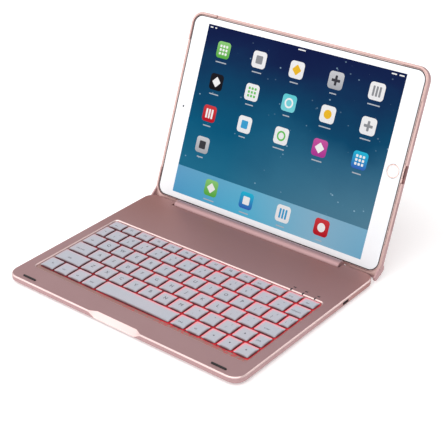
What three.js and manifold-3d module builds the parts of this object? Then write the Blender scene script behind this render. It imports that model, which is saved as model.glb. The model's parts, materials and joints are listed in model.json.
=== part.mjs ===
// Tablet keyboard case: a thin keyboard base with a hinged tray that holds a tablet.
// Lengths are in millimetres and +Z is up. The deck is the flat top of the base.
import * as THREE from 'three';
import { mergeVertices } from 'three/addons/utils/BufferGeometryUtils.js';
import { ConvexGeometry } from 'three/addons/geometries/ConvexGeometry.js';
import Module from 'manifold-3d';

const wasm = await Module();
wasm.setup();

// ---- Driving dimensions: keyboard base ----
const BASE_WIDTH = 255.5;
const BASE_DEPTH = 183.6;
const BASE_CORNER = 11;
const DECK_HEIGHT = 8;
const FOOT_HEIGHT = 1.2;
const WALL = 1.4;
const DECK_THICKNESS = 1.2;
const BOTTOM_COVER_THICKNESS = 1.1;
const EDGE_CHAMFER = 0.7;
const GAP = 0.3;

// ---- Driving dimensions: keys ----
const BLOCK_LEFT = -113.7;
const BLOCK_RIGHT = 115.5;
const KEY_SIZE = 15;
const KEY_GAP = 1.79;
const KEY_THICKNESS = 1.5;
const KEY_PROUD = 0.8;
const KEY_FRONT_ROW_Y = -57.8;
const KEY_ROW_PITCH = 16.8;
const FUNCTION_ROW_Y = 24;
const FUNCTION_KEY_DEPTH = 10.6;
const WEB_WIDTH = 3;
const WEB_THICKNESS = 0.4;
const WELL_HALF_WIDTH = 116.6;
const WELL_FRONT = -69.5;
const WELL_REAR = 32;
const WELL_CORNER = 3;
const WELL_CHAMFER = 0.8;

// ---- Driving dimensions: hinge and tray ----
const LID_ANGLE = THREE.MathUtils.degToRad(67.09);
const SCREEN_FOOT_Y = 99.07;
const SCREEN_FOOT_ABOVE_DECK = 5.18;
const HINGE_Y = 89.9;
const HINGE_ABOVE_DECK = -2.15;
const BARREL_RADIUS = 5.2;
const BARREL_HALF_LENGTH = 93.5;
const HINGE_BAY_HALF_WIDTH = 95;
const HINGE_BAY_FRONT = 84.2;
const SHAFT_RADIUS = 1.1;
const SHAFT_CLEARANCE = 0.08;
const TRAY_RIM = 2.2;
const TRAY_LINER = 0.4;
const TRAY_BACK = 0.8;
const TRAY_LIP = 0.5;
const RIM_DROP = 1;

// ---- Driving dimensions: tablet ----
const TABLET_LENGTH = 250.6;
const TABLET_BREADTH = 174.1;
const TABLET_THICKNESS = 6.1;
const TABLET_CORNER = 9.5;
const SCREEN_LENGTH = 213.98;
const SCREEN_BREADTH = 160.48;
const HOME_BUTTON_X = 116.1;
const HOME_BUTTON_RADIUS = 5.9;
const CAMERA_X = -113.5;
const CAMERA_Y = 155;
const CAMERA_RADIUS = 5.2;

const CORNER_STEPS = 6;
const CUT_MARGIN = 1;

// ---- Derived levels, measured up from the surface that the feet stand on ----
const BOTTOM_COVER_TOP = FOOT_HEIGHT + BOTTOM_COVER_THICKNESS;
const TOP_COVER_BOTTOM = BOTTOM_COVER_TOP + GAP;
const DECK_UNDERSIDE = DECK_HEIGHT - DECK_THICKNESS;
const KEY_TOP = DECK_HEIGHT + KEY_PROUD;
const KEY_BOTTOM = KEY_TOP - KEY_THICKNESS;
const SCREEN_CENTRE_Y = SCREEN_BREADTH / 2;
const TRAY_HALF_LENGTH = TABLET_LENGTH / 2 + TRAY_RIM;
const TRAY_HALF_BREADTH = TABLET_BREADTH / 2 + TRAY_RIM;
const TRAY_FLOOR = -TABLET_THICKNESS - TRAY_LINER - 0.2;

// ---- Materials ----
function paint(color, roughness, metalness) {
  return new THREE.MeshStandardMaterial({ color, roughness, metalness });
}

const roseGold = paint(0xb8918e, 0.38, 0.85);
const roseHousing = paint(0xd3a79c, 0.35, 0.8);
const keyPlastic = paint(0xcfced8, 0.5, 0);
const blackPlastic = paint(0x17171a, 0.5, 0);
const blackRubber = paint(0x101012, 0.8, 0);
const steel = paint(0x8f9196, 0.35, 1);
const whiteGlass = paint(0xf4f7fa, 0.08, 0);
const screenGlass = paint(0x1f5f95, 0.1, 0);
const lightGuide = paint(0xe8304a, 0.3, 0);
const boardGreen = paint(0x1d5a3a, 0.6, 0);
const foilGrey = paint(0x8d8f94, 0.5, 0.6);
const linerGrey = paint(0x55525a, 0.95, 0);
const indicatorWhite = paint(0xf2f2f5, 0.3, 0);

// ---- Shape helpers ----
function roundedRectangle(width, depth, radius, centreX = 0, centreY = 0) {
  const shape = new THREE.Shape();
  const right = centreX + width / 2 - radius;
  const left = centreX - width / 2 + radius;
  const rear = centreY + depth / 2 - radius;
  const front = centreY - depth / 2 + radius;
  shape.absarc(right, rear, radius, 0, Math.PI / 2);
  shape.absarc(left, rear, radius, Math.PI / 2, Math.PI);
  shape.absarc(left, front, radius, Math.PI, 1.5 * Math.PI);
  shape.absarc(right, front, radius, 1.5 * Math.PI, 2 * Math.PI);
  return shape;
}

function slab(shape, bottom, top, chamfer = 0, curveSegments = CORNER_STEPS) {
  const geometry = new THREE.ExtrudeGeometry(shape, {
    depth: top - bottom - 2 * chamfer,
    bevelEnabled: chamfer > 0,
    bevelThickness: chamfer,
    bevelSize: chamfer,
    bevelOffset: -chamfer,
    bevelSegments: 1,
    curveSegments,
  });
  return geometry.translate(0, 0, bottom + chamfer);
}

function block(left, right, front, rear, bottom, top) {
  const geometry = new THREE.BoxGeometry(right - left, rear - front, top - bottom);
  return geometry.translate((left + right) / 2, (front + rear) / 2, (bottom + top) / 2);
}

function post(x, y, radius, bottom, top, sides = 16) {
  const geometry = new THREE.CylinderGeometry(radius, radius, top - bottom, sides);
  return geometry.rotateX(Math.PI / 2).translate(x, y, (bottom + top) / 2);
}

function rodAlongX(start, end, y, z, radius, sides = 16) {
  const geometry = new THREE.CylinderGeometry(radius, radius, end - start, sides);
  return geometry.rotateZ(Math.PI / 2).translate((start + end) / 2, y, z);
}

// ---- Solid helpers: joins and cuts ----
function solid(geometry) {
  const bare = geometry.clone();
  bare.deleteAttribute('normal');
  bare.deleteAttribute('uv');
  const merged = mergeVertices(bare, 1e-4);
  return new wasm.Manifold(new wasm.Mesh({
    numProp: 3,
    vertProperties: new Float32Array(merged.attributes.position.array),
    triVerts: new Uint32Array(merged.index.array),
  }));
}

function join(geometries) {
  return geometries.map(solid).reduce((whole, piece) => whole.add(piece));
}

function cut(body, geometries) {
  return geometries.map(solid).reduce((whole, piece) => whole.subtract(piece), body);
}

function surfaceOf(body) {
  const mesh = body.getMesh();
  const geometry = new THREE.BufferGeometry();
  geometry.setAttribute('position', new THREE.BufferAttribute(mesh.vertProperties, 3));
  geometry.setIndex(new THREE.BufferAttribute(mesh.triVerts, 1));
  geometry.computeVertexNormals();
  return geometry;
}

function addPiece(group, name, shape, material) {
  const geometry = shape.isBufferGeometry ? shape : surfaceOf(shape);
  const mesh = new THREE.Mesh(geometry, material);
  mesh.name = name;
  group.add(mesh);
  return mesh;
}

// ---- Keyboard base: covers ----
const SCREW_X = 121;
const SCREW_Y = 60;
const SCREW_PLACES = [[-SCREW_X, -SCREW_Y], [SCREW_X, -SCREW_Y], [-SCREW_X, SCREW_Y], [SCREW_X, SCREW_Y]];
const SCREW_RADIUS = 1;
const SCREW_CLEARANCE = 0.15;
const SCREW_HEAD_RADIUS = 1.9;
const SCREW_HEAD_THICKNESS = 0.5;
const SCREW_SEAT_RADIUS = 2.1;
const SCREW_SEAT_DEPTH = 0.6;
const DRIVE_SLOT_WIDTH = 0.5;
const BOSS_RADIUS = 2.4;
const FOOT_SIZE = 8;
const FOOT_PLACES = [[-108, -82], [108, -82], [-108, 84], [108, 84]];
const LIGHT_PLACES_X = [83.2, 95.1, 107.3];
const LIGHT_Y = 34.4;
const LIGHT_RADIUS = 0.8;
const PORT_FRONT = 43.1;
const PORT_REAR = 51.7;
const PORT_BOTTOM = 3.6;
const PORT_TOP = 6.4;
const BUMPER_X = 104.65;
const BUMPER_Y = -86;
const BUMPER_LENGTH = 14.9;
const BUMPER_WIDTH = 1.6;
const BUMPER_PROUD = 1.6;
const BUMPER_SLOT_DEPTH = 0.6;
const BUMPER_CLEARANCE = 0.2;
const NOTCH_INNER_HALF = 21.7;
const NOTCH_OUTER_HALF = 30.4;
const NOTCH_DEPTH = 4.1;
const NOTCH_FLOOR = 3.2;
const JOIN_OVERLAP = 0.2;

function fingerNotch() {
  const frontEdge = -BASE_DEPTH / 2;
  const points = [];
  for (const side of [-1, 1]) {
    points.push(new THREE.Vector3(side * NOTCH_INNER_HALF, frontEdge + NOTCH_DEPTH, DECK_HEIGHT));
    points.push(new THREE.Vector3(side * NOTCH_INNER_HALF, frontEdge + NOTCH_DEPTH, DECK_HEIGHT + 1));
    points.push(new THREE.Vector3(side * NOTCH_OUTER_HALF, frontEdge, DECK_HEIGHT));
    points.push(new THREE.Vector3(side * (NOTCH_OUTER_HALF + 1), frontEdge - 1, DECK_HEIGHT + 1));
    points.push(new THREE.Vector3(side * NOTCH_INNER_HALF, frontEdge, NOTCH_FLOOR));
    points.push(new THREE.Vector3(side * NOTCH_INNER_HALF, frontEdge - 1, NOTCH_FLOOR));
  }
  return new ConvexGeometry(points);
}

function baseTopCover() {
  const insideBottom = TOP_COVER_BOTTOM - CUT_MARGIN;
  const outline = roundedRectangle(BASE_WIDTH, BASE_DEPTH, BASE_CORNER);
  const inside = roundedRectangle(BASE_WIDTH - 2 * WALL, BASE_DEPTH - 2 * WALL, BASE_CORNER - WALL);
  const outer = solid(slab(outline, TOP_COVER_BOTTOM, DECK_HEIGHT, EDGE_CHAMFER));
  const hollow = cut(outer, [slab(inside, insideBottom, DECK_UNDERSIDE)]);

  const bayWall = block(-HINGE_BAY_HALF_WIDTH - WALL, HINGE_BAY_HALF_WIDTH + WALL,
    HINGE_BAY_FRONT - WALL, BASE_DEPTH / 2, TOP_COVER_BOTTOM, DECK_UNDERSIDE + JOIN_OVERLAP);
  const notchBacking = block(-NOTCH_OUTER_HALF - 2 * WALL, NOTCH_OUTER_HALF + 2 * WALL,
    -BASE_DEPTH / 2 + EDGE_CHAMFER, -BASE_DEPTH / 2 + NOTCH_DEPTH + WALL,
    TOP_COVER_BOTTOM + EDGE_CHAMFER, DECK_UNDERSIDE + JOIN_OVERLAP);
  const bosses = SCREW_PLACES.map(([x, y]) => post(x, y, BOSS_RADIUS,
    TOP_COVER_BOTTOM + GAP, DECK_UNDERSIDE + JOIN_OVERLAP));
  const added = join([bayWall, notchBacking, ...bosses]).intersect(outer);

  const bay = block(-HINGE_BAY_HALF_WIDTH, HINGE_BAY_HALF_WIDTH,
    HINGE_BAY_FRONT, BASE_DEPTH / 2 + CUT_MARGIN, 0, DECK_HEIGHT + CUT_MARGIN);
  const shaftHoleEnd = HINGE_BAY_HALF_WIDTH + WALL + GAP + BRACKET_LENGTH + CUT_MARGIN;
  const shaftHole = rodAlongX(-shaftHoleEnd, shaftHoleEnd,
    HINGE_Y, DECK_HEIGHT + HINGE_ABOVE_DECK, SHAFT_RADIUS + 0.2);
  const wellWidth = 2 * WELL_HALF_WIDTH;
  const wellDepth = WELL_REAR - WELL_FRONT;
  const wellY = (WELL_REAR + WELL_FRONT) / 2;
  const well = slab(roundedRectangle(wellWidth, wellDepth, WELL_CORNER, 0, wellY),
    DECK_UNDERSIDE - CUT_MARGIN, DECK_HEIGHT + CUT_MARGIN);
  const wellEdge = roundedRectangle(wellWidth + 2 * WELL_CHAMFER, wellDepth + 2 * WELL_CHAMFER,
    WELL_CORNER + WELL_CHAMFER, 0, wellY);
  const bevel = slab(wellEdge, DECK_HEIGHT - WELL_CHAMFER, DECK_HEIGHT + 2 * WELL_CHAMFER, WELL_CHAMFER);
  const portHole = block(BASE_WIDTH / 2 - WALL - CUT_MARGIN, BASE_WIDTH / 2 + CUT_MARGIN,
    PORT_FRONT, PORT_REAR, PORT_BOTTOM, PORT_TOP);
  const screwHoles = SCREW_PLACES.map(([x, y]) => post(x, y, SCREW_RADIUS + SCREW_CLEARANCE,
    0, DECK_UNDERSIDE - GAP));
  const lightHoles = LIGHT_PLACES_X.map((x) => post(x, LIGHT_Y, LIGHT_RADIUS + 0.1,
    DECK_UNDERSIDE - CUT_MARGIN, DECK_HEIGHT + CUT_MARGIN, 12));
  const slotLength = BUMPER_LENGTH + 2 * BUMPER_CLEARANCE;
  const slotWidth = BUMPER_WIDTH + 2 * BUMPER_CLEARANCE;
  const bumperSlots = [-BUMPER_X, BUMPER_X].map((x) => slab(
    roundedRectangle(slotLength, slotWidth, 0.8, x, BUMPER_Y),
    DECK_HEIGHT - BUMPER_SLOT_DEPTH, DECK_HEIGHT + CUT_MARGIN, 0, 3));
  return cut(hollow.add(added),
    [bay, shaftHole, well, bevel, portHole, fingerNotch(), ...screwHoles, ...lightHoles, ...bumperSlots]);
}

function baseBottomCover() {
  const inset = WALL - 0.2;
  const outline = roundedRectangle(BASE_WIDTH - 2 * inset, BASE_DEPTH - 2 * inset, BASE_CORNER - inset);
  const plate = solid(slab(outline, FOOT_HEIGHT, BOTTOM_COVER_TOP, 0.4));
  const above = BOTTOM_COVER_TOP + CUT_MARGIN;
  const bay = block(-HINGE_BAY_HALF_WIDTH, HINGE_BAY_HALF_WIDTH,
    HINGE_BAY_FRONT - WALL, BASE_DEPTH / 2, 0, above);
  const screwHoles = SCREW_PLACES.map(([x, y]) => post(x, y, SCREW_RADIUS + SCREW_CLEARANCE, 0, above));
  const headSeats = SCREW_PLACES.map(([x, y]) => post(x, y, SCREW_SEAT_RADIUS,
    0, FOOT_HEIGHT + SCREW_SEAT_DEPTH));
  return cut(plate, [bay, ...screwHoles, ...headSeats]);
}

function coverScrew(x, y) {
  const headBottom = FOOT_HEIGHT + 0.05;
  const headTop = headBottom + SCREW_HEAD_THICKNESS;
  const head = post(x, y, SCREW_HEAD_RADIUS, headBottom, headTop);
  const shank = post(x, y, SCREW_RADIUS, headTop - 0.1, DECK_UNDERSIDE - 2 * GAP, 12);
  const drive = block(x - SCREW_RADIUS, x + SCREW_RADIUS, y - DRIVE_SLOT_WIDTH / 2, y + DRIVE_SLOT_WIDTH / 2,
    headBottom - CUT_MARGIN, headBottom + SCREW_HEAD_THICKNESS / 2);
  return cut(join([head, shank]), [drive]);
}

// ---- Keyboard base: layers under the keys and electronics ----
const STACK_HALF_WIDTH = 118.2;
const STACK_FRONT = -71.2;
const STACK_REAR = 33.2;
const FRAME_TOP = DECK_UNDERSIDE - 0.05;
const FRAME_THICKNESS = 0.5;
const SLOT_CLEARANCE = 0.4;
const MEMBRANE = { bottom: 4.7, top: 4.95, inset: 1 };
const KEY_PLATE = { bottom: 3.8, top: 4.6, inset: 0 };
const LIGHT_GUIDE = { bottom: 3.1, top: 3.6, inset: 1 };
const BOARD = { x: 90, y: 60, width: 50, depth: 40, bottom: 2.9, top: 3.9 };
const BATTERY = { spacing: 69, shift: -8, y: 60, width: 66, depth: 40, bottom: 2.7, top: 6.3 };
const PORT_DEPTH = 9.5;
const BRACKET_LENGTH = 14;
const BRACKET_FRONT = 76;
const SHAFT_IN_BARREL = 12;

function stackLayer({ bottom, top, inset }) {
  const width = 2 * (STACK_HALF_WIDTH - inset);
  const depth = STACK_REAR - STACK_FRONT - 2 * inset;
  return slab(roundedRectangle(width, depth, 2, 0, (STACK_REAR + STACK_FRONT) / 2), bottom, top, 0, 2);
}

// The frame is the floor of the well. Each row of keys comes up through its own slot.
function keyFrame() {
  const plate = solid(stackLayer({ bottom: FRAME_TOP - FRAME_THICKNESS, top: FRAME_TOP, inset: 0 }));
  const slots = KEY_ROWS.map((row) => slab(roundedRectangle(
    BLOCK_RIGHT - BLOCK_LEFT + 2 * SLOT_CLEARANCE, row.depth + 2 * SLOT_CLEARANCE, 1,
    (BLOCK_LEFT + BLOCK_RIGHT) / 2, row.y),
    FRAME_TOP - FRAME_THICKNESS - CUT_MARGIN, FRAME_TOP + CUT_MARGIN, 0, 1));
  return cut(plate, slots);
}

function mainBoard() {
  return slab(roundedRectangle(BOARD.width, BOARD.depth, 1.5, BOARD.x, BOARD.y),
    BOARD.bottom, BOARD.top, 0, 2);
}

function battery(side) {
  const x = side * BATTERY.spacing / 2 + BATTERY.shift;
  return slab(roundedRectangle(BATTERY.width, BATTERY.depth, 2, x, BATTERY.y),
    BATTERY.bottom, BATTERY.top, 0.5, 2);
}

function chargingPort() {
  const mouth = BASE_WIDTH / 2 - 0.5;
  const layer = (near, far, inset, thin) => block(mouth - far, mouth - near,
    PORT_FRONT + inset, PORT_REAR - inset, PORT_BOTTOM + thin, PORT_TOP - thin);
  const shell = layer(0, PORT_DEPTH, 0.35, 0.35);
  const socket = layer(-CUT_MARGIN, PORT_DEPTH - 3, 1, 0.75);
  const tongue = layer(1.5, PORT_DEPTH - 2, 2, 1.1);
  return cut(solid(shell), [socket]).add(solid(tongue));
}

function hingeBracket(side) {
  const height = DECK_HEIGHT + HINGE_ABOVE_DECK;
  const inner = HINGE_BAY_HALF_WIDTH + WALL + GAP;
  const outer = inner + BRACKET_LENGTH;
  const plate = block(Math.min(side * inner, side * outer), Math.max(side * inner, side * outer),
    BRACKET_FRONT, HINGE_Y + GAP, height - 0.9, height + 0.6);
  const inward = BARREL_HALF_LENGTH - SHAFT_IN_BARREL;
  const shaft = rodAlongX(Math.min(side * inward, side * outer), Math.max(side * inward, side * outer),
    HINGE_Y, height, SHAFT_RADIUS);
  return join([plate, shaft]);
}

function foot(x, y) {
  return slab(roundedRectangle(FOOT_SIZE, FOOT_SIZE, FOOT_SIZE / 2 - 0.1, x, y),
    0, FOOT_HEIGHT - 0.02, 0.3, 3);
}

function bumper(x) {
  const shape = roundedRectangle(BUMPER_LENGTH, BUMPER_WIDTH, 0.7, x, BUMPER_Y);
  return slab(shape, DECK_HEIGHT - 0.5, DECK_HEIGHT + BUMPER_PROUD, 0.3, 3);
}

// ---- Keys ----
// Each row lists its keys from left to right as [piece name, number of keys, width].
// A width of null takes what is left of the key block.
const FUNCTION_KEY_WIDTH = (BLOCK_RIGHT - BLOCK_LEFT - 13 * KEY_GAP) / 14;
const ARROW_SIDE_WIDTH = 14.36;
const WEB_INSET = 2;
const KEY_ROWS = [
  { y: FUNCTION_ROW_Y, depth: FUNCTION_KEY_DEPTH, keys: [
    ['escape_key', 1, FUNCTION_KEY_WIDTH], ['function_keys', 13, FUNCTION_KEY_WIDTH]] },
  { y: KEY_FRONT_ROW_Y + 4 * KEY_ROW_PITCH, depth: KEY_SIZE, keys: [
    ['number_keys', 1, 10.2], ['number_keys', 12, KEY_SIZE], ['backspace_key', 1, null]] },
  { y: KEY_FRONT_ROW_Y + 3 * KEY_ROW_PITCH, depth: KEY_SIZE, keys: [
    ['tab_key', 1, 16.5], ['upper_letter_keys', 12, KEY_SIZE], ['upper_letter_keys', 1, null]] },
  { y: KEY_FRONT_ROW_Y + 2 * KEY_ROW_PITCH, depth: KEY_SIZE, keys: [
    ['caps_key', 1, 21.9], ['home_letter_keys', 11, KEY_SIZE], ['enter_key', 1, null]] },
  { y: KEY_FRONT_ROW_Y + KEY_ROW_PITCH, depth: KEY_SIZE, keys: [
    ['left_shift_key', 1, 30.3], ['lower_letter_keys', 10, KEY_SIZE],
    ['arrow_up_key', 1, KEY_SIZE], ['right_shift_key', 1, null]] },
  { y: KEY_FRONT_ROW_Y, depth: KEY_SIZE, keys: [
    ['left_modifier_keys', 4, KEY_SIZE], ['space_bar', 1, 81.3],
    ['right_modifier_keys', 2, ARROW_SIDE_WIDTH], ['arrow_left_key', 1, ARROW_SIDE_WIDTH],
    ['arrow_down_key', 1, ARROW_SIDE_WIDTH], ['arrow_right_key', 1, null]] },
];

function keyCap(left, right, y, depth) {
  const shape = roundedRectangle(right - left, depth, 0.9, (left + right) / 2, y);
  return slab(shape, KEY_BOTTOM, KEY_TOP, 0, 1);
}

// Walks one row and returns the caps of each named piece, with the ends of its run.
function rowPieces(row) {
  const pieces = new Map();
  let left = BLOCK_LEFT;
  for (const [name, count, width] of row.keys) {
    for (let index = 0; index < count; index += 1) {
      const right = width === null ? BLOCK_RIGHT : left + width;
      const piece = pieces.get(name) ?? { caps: [], start: left };
      piece.caps.push(keyCap(left, right, row.y, row.depth));
      piece.end = right;
      pieces.set(name, piece);
      left = right + KEY_GAP;
    }
  }
  return pieces;
}

// Caps that share a piece are joined by a thin web under them.
function addKeys(group) {
  for (const row of KEY_ROWS) {
    for (const [name, piece] of rowPieces(row)) {
      const web = block(piece.start + WEB_INSET, piece.end - WEB_INSET,
        row.y - WEB_WIDTH / 2, row.y + WEB_WIDTH / 2,
        KEY_BOTTOM - WEB_THICKNESS, KEY_BOTTOM + JOIN_OVERLAP);
      addPiece(group, name, join([...piece.caps, web]), keyPlastic);
    }
  }
}

// ---- Tray and barrel: X across, Y up the screen, Z out of the glass, zero on the screen's lower edge ----
const RIM_CORNER_REACH = 27.5;
const PORT_CUT = { low: 72.2, high: 87.5, depth: 5.4 };
const SPEAKER_SLOT = { length: 23.5, centres: [43.7, 116.3], bottom: -3.8, top: -2.2 };
const HINGE_CUT_HALF = 98;
const EAR_THICKNESS = 1.7;
const EAR_TIP = { y: 92.8, aboveDeck: -3, radius: 2.4 };
const EAR_ROOT = { up: -2, out: -3.2, radius: 3.4 };

// Turns a place in the plane of the lid's end, given from the deck, into heights up and out of the screen.
function lidPlace(y, aboveDeck) {
  const back = y - SCREEN_FOOT_Y;
  const rise = aboveDeck - SCREEN_FOOT_ABOVE_DECK;
  return {
    up: back * Math.cos(LID_ANGLE) + rise * Math.sin(LID_ANGLE),
    out: -back * Math.sin(LID_ANGLE) + rise * Math.cos(LID_ANGLE),
  };
}

// The two corners next to the hinge are square, and each has an ear that reaches down past the base's corner.
function hingeCorner(side, back) {
  const outer = side * TRAY_HALF_LENGTH;
  const inner = side * (TRAY_HALF_LENGTH - TABLET_CORNER - TRAY_RIM);
  const bottomEdge = SCREEN_CENTRE_Y - TRAY_HALF_BREADTH;
  const square = block(Math.min(inner, outer), Math.max(inner, outer),
    bottomEdge, bottomEdge + TABLET_CORNER + TRAY_RIM, back + EDGE_CHAMFER, TRAY_LIP);
  const earInner = outer - side * EAR_THICKNESS;
  const earRod = ({ up, out }, radius) => solid(rodAlongX(
    Math.min(earInner, outer), Math.max(earInner, outer), up, out, radius, 20));
  const tip = earRod(lidPlace(EAR_TIP.y, EAR_TIP.aboveDeck), EAR_TIP.radius);
  const root = earRod(EAR_ROOT, EAR_ROOT.radius);
  return solid(square).add(wasm.Manifold.hull([tip, root]));
}

function tabletTray() {
  const back = TRAY_FLOOR - TRAY_BACK;
  const outline = roundedRectangle(2 * TRAY_HALF_LENGTH, 2 * TRAY_HALF_BREADTH,
    TABLET_CORNER + TRAY_RIM, 0, SCREEN_CENTRE_Y);
  const pocket = roundedRectangle(TABLET_LENGTH + 2 * GAP, TABLET_BREADTH + 2 * GAP,
    TABLET_CORNER + GAP, 0, SCREEN_CENTRE_Y);
  const rimTop = TRAY_LIP + CUT_MARGIN;
  const low = TRAY_LIP - RIM_DROP;
  const sideReach = TRAY_HALF_LENGTH + CUT_MARGIN;
  const sideInner = TRAY_HALF_LENGTH - TRAY_RIM - CUT_MARGIN;
  const bottomEdge = SCREEN_CENTRE_Y - TRAY_HALF_BREADTH;
  const topEdge = SCREEN_CENTRE_Y + TRAY_HALF_BREADTH;
  const sideDrop = block(-sideReach, sideReach, bottomEdge + RIM_CORNER_REACH, topEdge - RIM_CORNER_REACH,
    low, rimTop);
  const endDrop = block(-TRAY_HALF_LENGTH + RIM_CORNER_REACH, TRAY_HALF_LENGTH - RIM_CORNER_REACH,
    bottomEdge - CUT_MARGIN, topEdge + CUT_MARGIN, low, rimTop);
  const hingeSide = block(-HINGE_CUT_HALF, HINGE_CUT_HALF,
    bottomEdge - CUT_MARGIN, bottomEdge + TRAY_RIM + CUT_MARGIN, low - RIM_DROP, rimTop);
  const portCut = block(sideInner, sideReach, PORT_CUT.low, PORT_CUT.high, -PORT_CUT.depth, rimTop);
  const cameraHole = post(CAMERA_X, CAMERA_Y, CAMERA_RADIUS + 1.6,
    back - CUT_MARGIN, TRAY_FLOOR + CUT_MARGIN, 20);
  const speakerSlots = SPEAKER_SLOT.centres.map((y) => block(sideInner, sideReach,
    y - SPEAKER_SLOT.length / 2, y + SPEAKER_SLOT.length / 2, SPEAKER_SLOT.bottom, SPEAKER_SLOT.top));
  const outer = solid(slab(outline, back, TRAY_LIP, EDGE_CHAMFER - 0.1))
    .add(hingeCorner(-1, back))
    .add(hingeCorner(1, back));
  return cut(outer,
    [slab(pocket, TRAY_FLOOR, rimTop), sideDrop, endDrop, hingeSide, portCut, cameraHole, ...speakerSlots]);
}

const BORE_DEPTH = 14;
const BARREL_CHAMFER = 0.5;
const FLANGE = { halfLength: 88, thickness: 1.9, bottom: -3, overlap: 1.2 };

function hingeBarrel() {
  const boreRadius = SHAFT_RADIUS + SHAFT_CLEARANCE;
  const boreEnd = BARREL_HALF_LENGTH - BORE_DEPTH;
  const profile = [
    [0, -boreEnd], [boreRadius, -boreEnd], [boreRadius, -BARREL_HALF_LENGTH],
    [BARREL_RADIUS - BARREL_CHAMFER, -BARREL_HALF_LENGTH],
    [BARREL_RADIUS, -BARREL_HALF_LENGTH + BARREL_CHAMFER],
    [BARREL_RADIUS, BARREL_HALF_LENGTH - BARREL_CHAMFER],
    [BARREL_RADIUS - BARREL_CHAMFER, BARREL_HALF_LENGTH],
    [boreRadius, BARREL_HALF_LENGTH], [boreRadius, boreEnd], [0, boreEnd],
  ].map(([radius, along]) => new THREE.Vector2(radius, along));
  const centre = lidPlace(HINGE_Y, HINGE_ABOVE_DECK);
  const tube = new THREE.LatheGeometry(profile, 32).rotateZ(Math.PI / 2).translate(0, centre.up, centre.out);
  const flangeTop = SCREEN_CENTRE_Y - TRAY_HALF_BREADTH - GAP;
  const flange = block(-FLANGE.halfLength, FLANGE.halfLength, flangeTop - FLANGE.thickness, flangeTop,
    FLANGE.bottom, centre.out - BARREL_RADIUS + FLANGE.overlap);
  return join([tube, flange]);
}

const LINER_INSET = 3;

function trayLiner() {
  const shape = roundedRectangle(TABLET_LENGTH - 2 * LINER_INSET, TABLET_BREADTH - 2 * LINER_INSET,
    TABLET_CORNER - LINER_INSET, 0, SCREEN_CENTRE_Y);
  const top = -TABLET_THICKNESS - 0.1;
  const hole = post(CAMERA_X, CAMERA_Y, CAMERA_RADIUS + 2.5, top - 2 * CUT_MARGIN, top + CUT_MARGIN, 20);
  return cut(solid(slab(shape, top - TRAY_LINER, top)), [hole]);
}

// ---- Tablet ----
const HOUSING_WALL = 1.2;
const HOUSING_FLOOR = 0.9;
const GLASS_THICKNESS = 0.7;
const TABLET_PORT = { halfWidth: 4.4, bottom: -4.4, top: -1.9, depth: 3 };
const GLASS_INSET = 0.7;
const DISPLAY_THICKNESS = 1.8;
const TABLET_BATTERY = { length: 150, breadth: 120, bottom: -4.9, top: -2.8 };
const HOME_BUTTON_THICKNESS = 1.05;
const HOME_BUTTON_RECESS = 0.15;

function tabletHousing() {
  const outline = roundedRectangle(TABLET_LENGTH, TABLET_BREADTH, TABLET_CORNER, 0, SCREEN_CENTRE_Y);
  const glassSeat = roundedRectangle(TABLET_LENGTH - 1, TABLET_BREADTH - 1, TABLET_CORNER - 0.5,
    0, SCREEN_CENTRE_Y);
  const pocket = roundedRectangle(TABLET_LENGTH - 2 * HOUSING_WALL, TABLET_BREADTH - 2 * HOUSING_WALL,
    TABLET_CORNER - HOUSING_WALL, 0, SCREEN_CENTRE_Y);
  const port = block(TABLET_LENGTH / 2 - TABLET_PORT.depth, TABLET_LENGTH / 2 + CUT_MARGIN,
    SCREEN_CENTRE_Y - TABLET_PORT.halfWidth, SCREEN_CENTRE_Y + TABLET_PORT.halfWidth,
    TABLET_PORT.bottom, TABLET_PORT.top);
  return cut(solid(slab(outline, -TABLET_THICKNESS, -0.05, 0.5)),
    [slab(glassSeat, -GLASS_THICKNESS - 0.15, CUT_MARGIN),
      slab(pocket, -TABLET_THICKNESS + HOUSING_FLOOR, CUT_MARGIN), port]);
}

function tabletGlass() {
  const outline = roundedRectangle(TABLET_LENGTH - 2 * GLASS_INSET, TABLET_BREADTH - 2 * GLASS_INSET,
    TABLET_CORNER - GLASS_INSET, 0, SCREEN_CENTRE_Y);
  const buttonHole = post(HOME_BUTTON_X, SCREEN_CENTRE_Y, HOME_BUTTON_RADIUS + GAP,
    -GLASS_THICKNESS - CUT_MARGIN, CUT_MARGIN, 24);
  return cut(solid(slab(outline, -GLASS_THICKNESS, 0)), [buttonHole]);
}

function tabletDisplay() {
  const shape = roundedRectangle(SCREEN_LENGTH + 2, SCREEN_BREADTH + 2, 1, 0, SCREEN_CENTRE_Y);
  const top = -GLASS_THICKNESS - 0.1;
  return slab(shape, top - DISPLAY_THICKNESS, top, 0, 1);
}

function tabletBattery() {
  return slab(roundedRectangle(TABLET_BATTERY.length, TABLET_BATTERY.breadth, 2, 0, SCREEN_CENTRE_Y),
    TABLET_BATTERY.bottom, TABLET_BATTERY.top, 0, 2);
}

function homeButton() {
  const width = 2 * HOME_BUTTON_RADIUS;
  return slab(roundedRectangle(width, width, width / 2 - 0.01, HOME_BUTTON_X, SCREEN_CENTRE_Y),
    -HOME_BUTTON_RECESS - HOME_BUTTON_THICKNESS, -HOME_BUTTON_RECESS, 0.2, 6);
}

function rearCamera() {
  return post(CAMERA_X, CAMERA_Y, CAMERA_RADIUS, TRAY_FLOOR - 0.4, -TABLET_THICKNESS - 0.05, 20);
}

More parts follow.
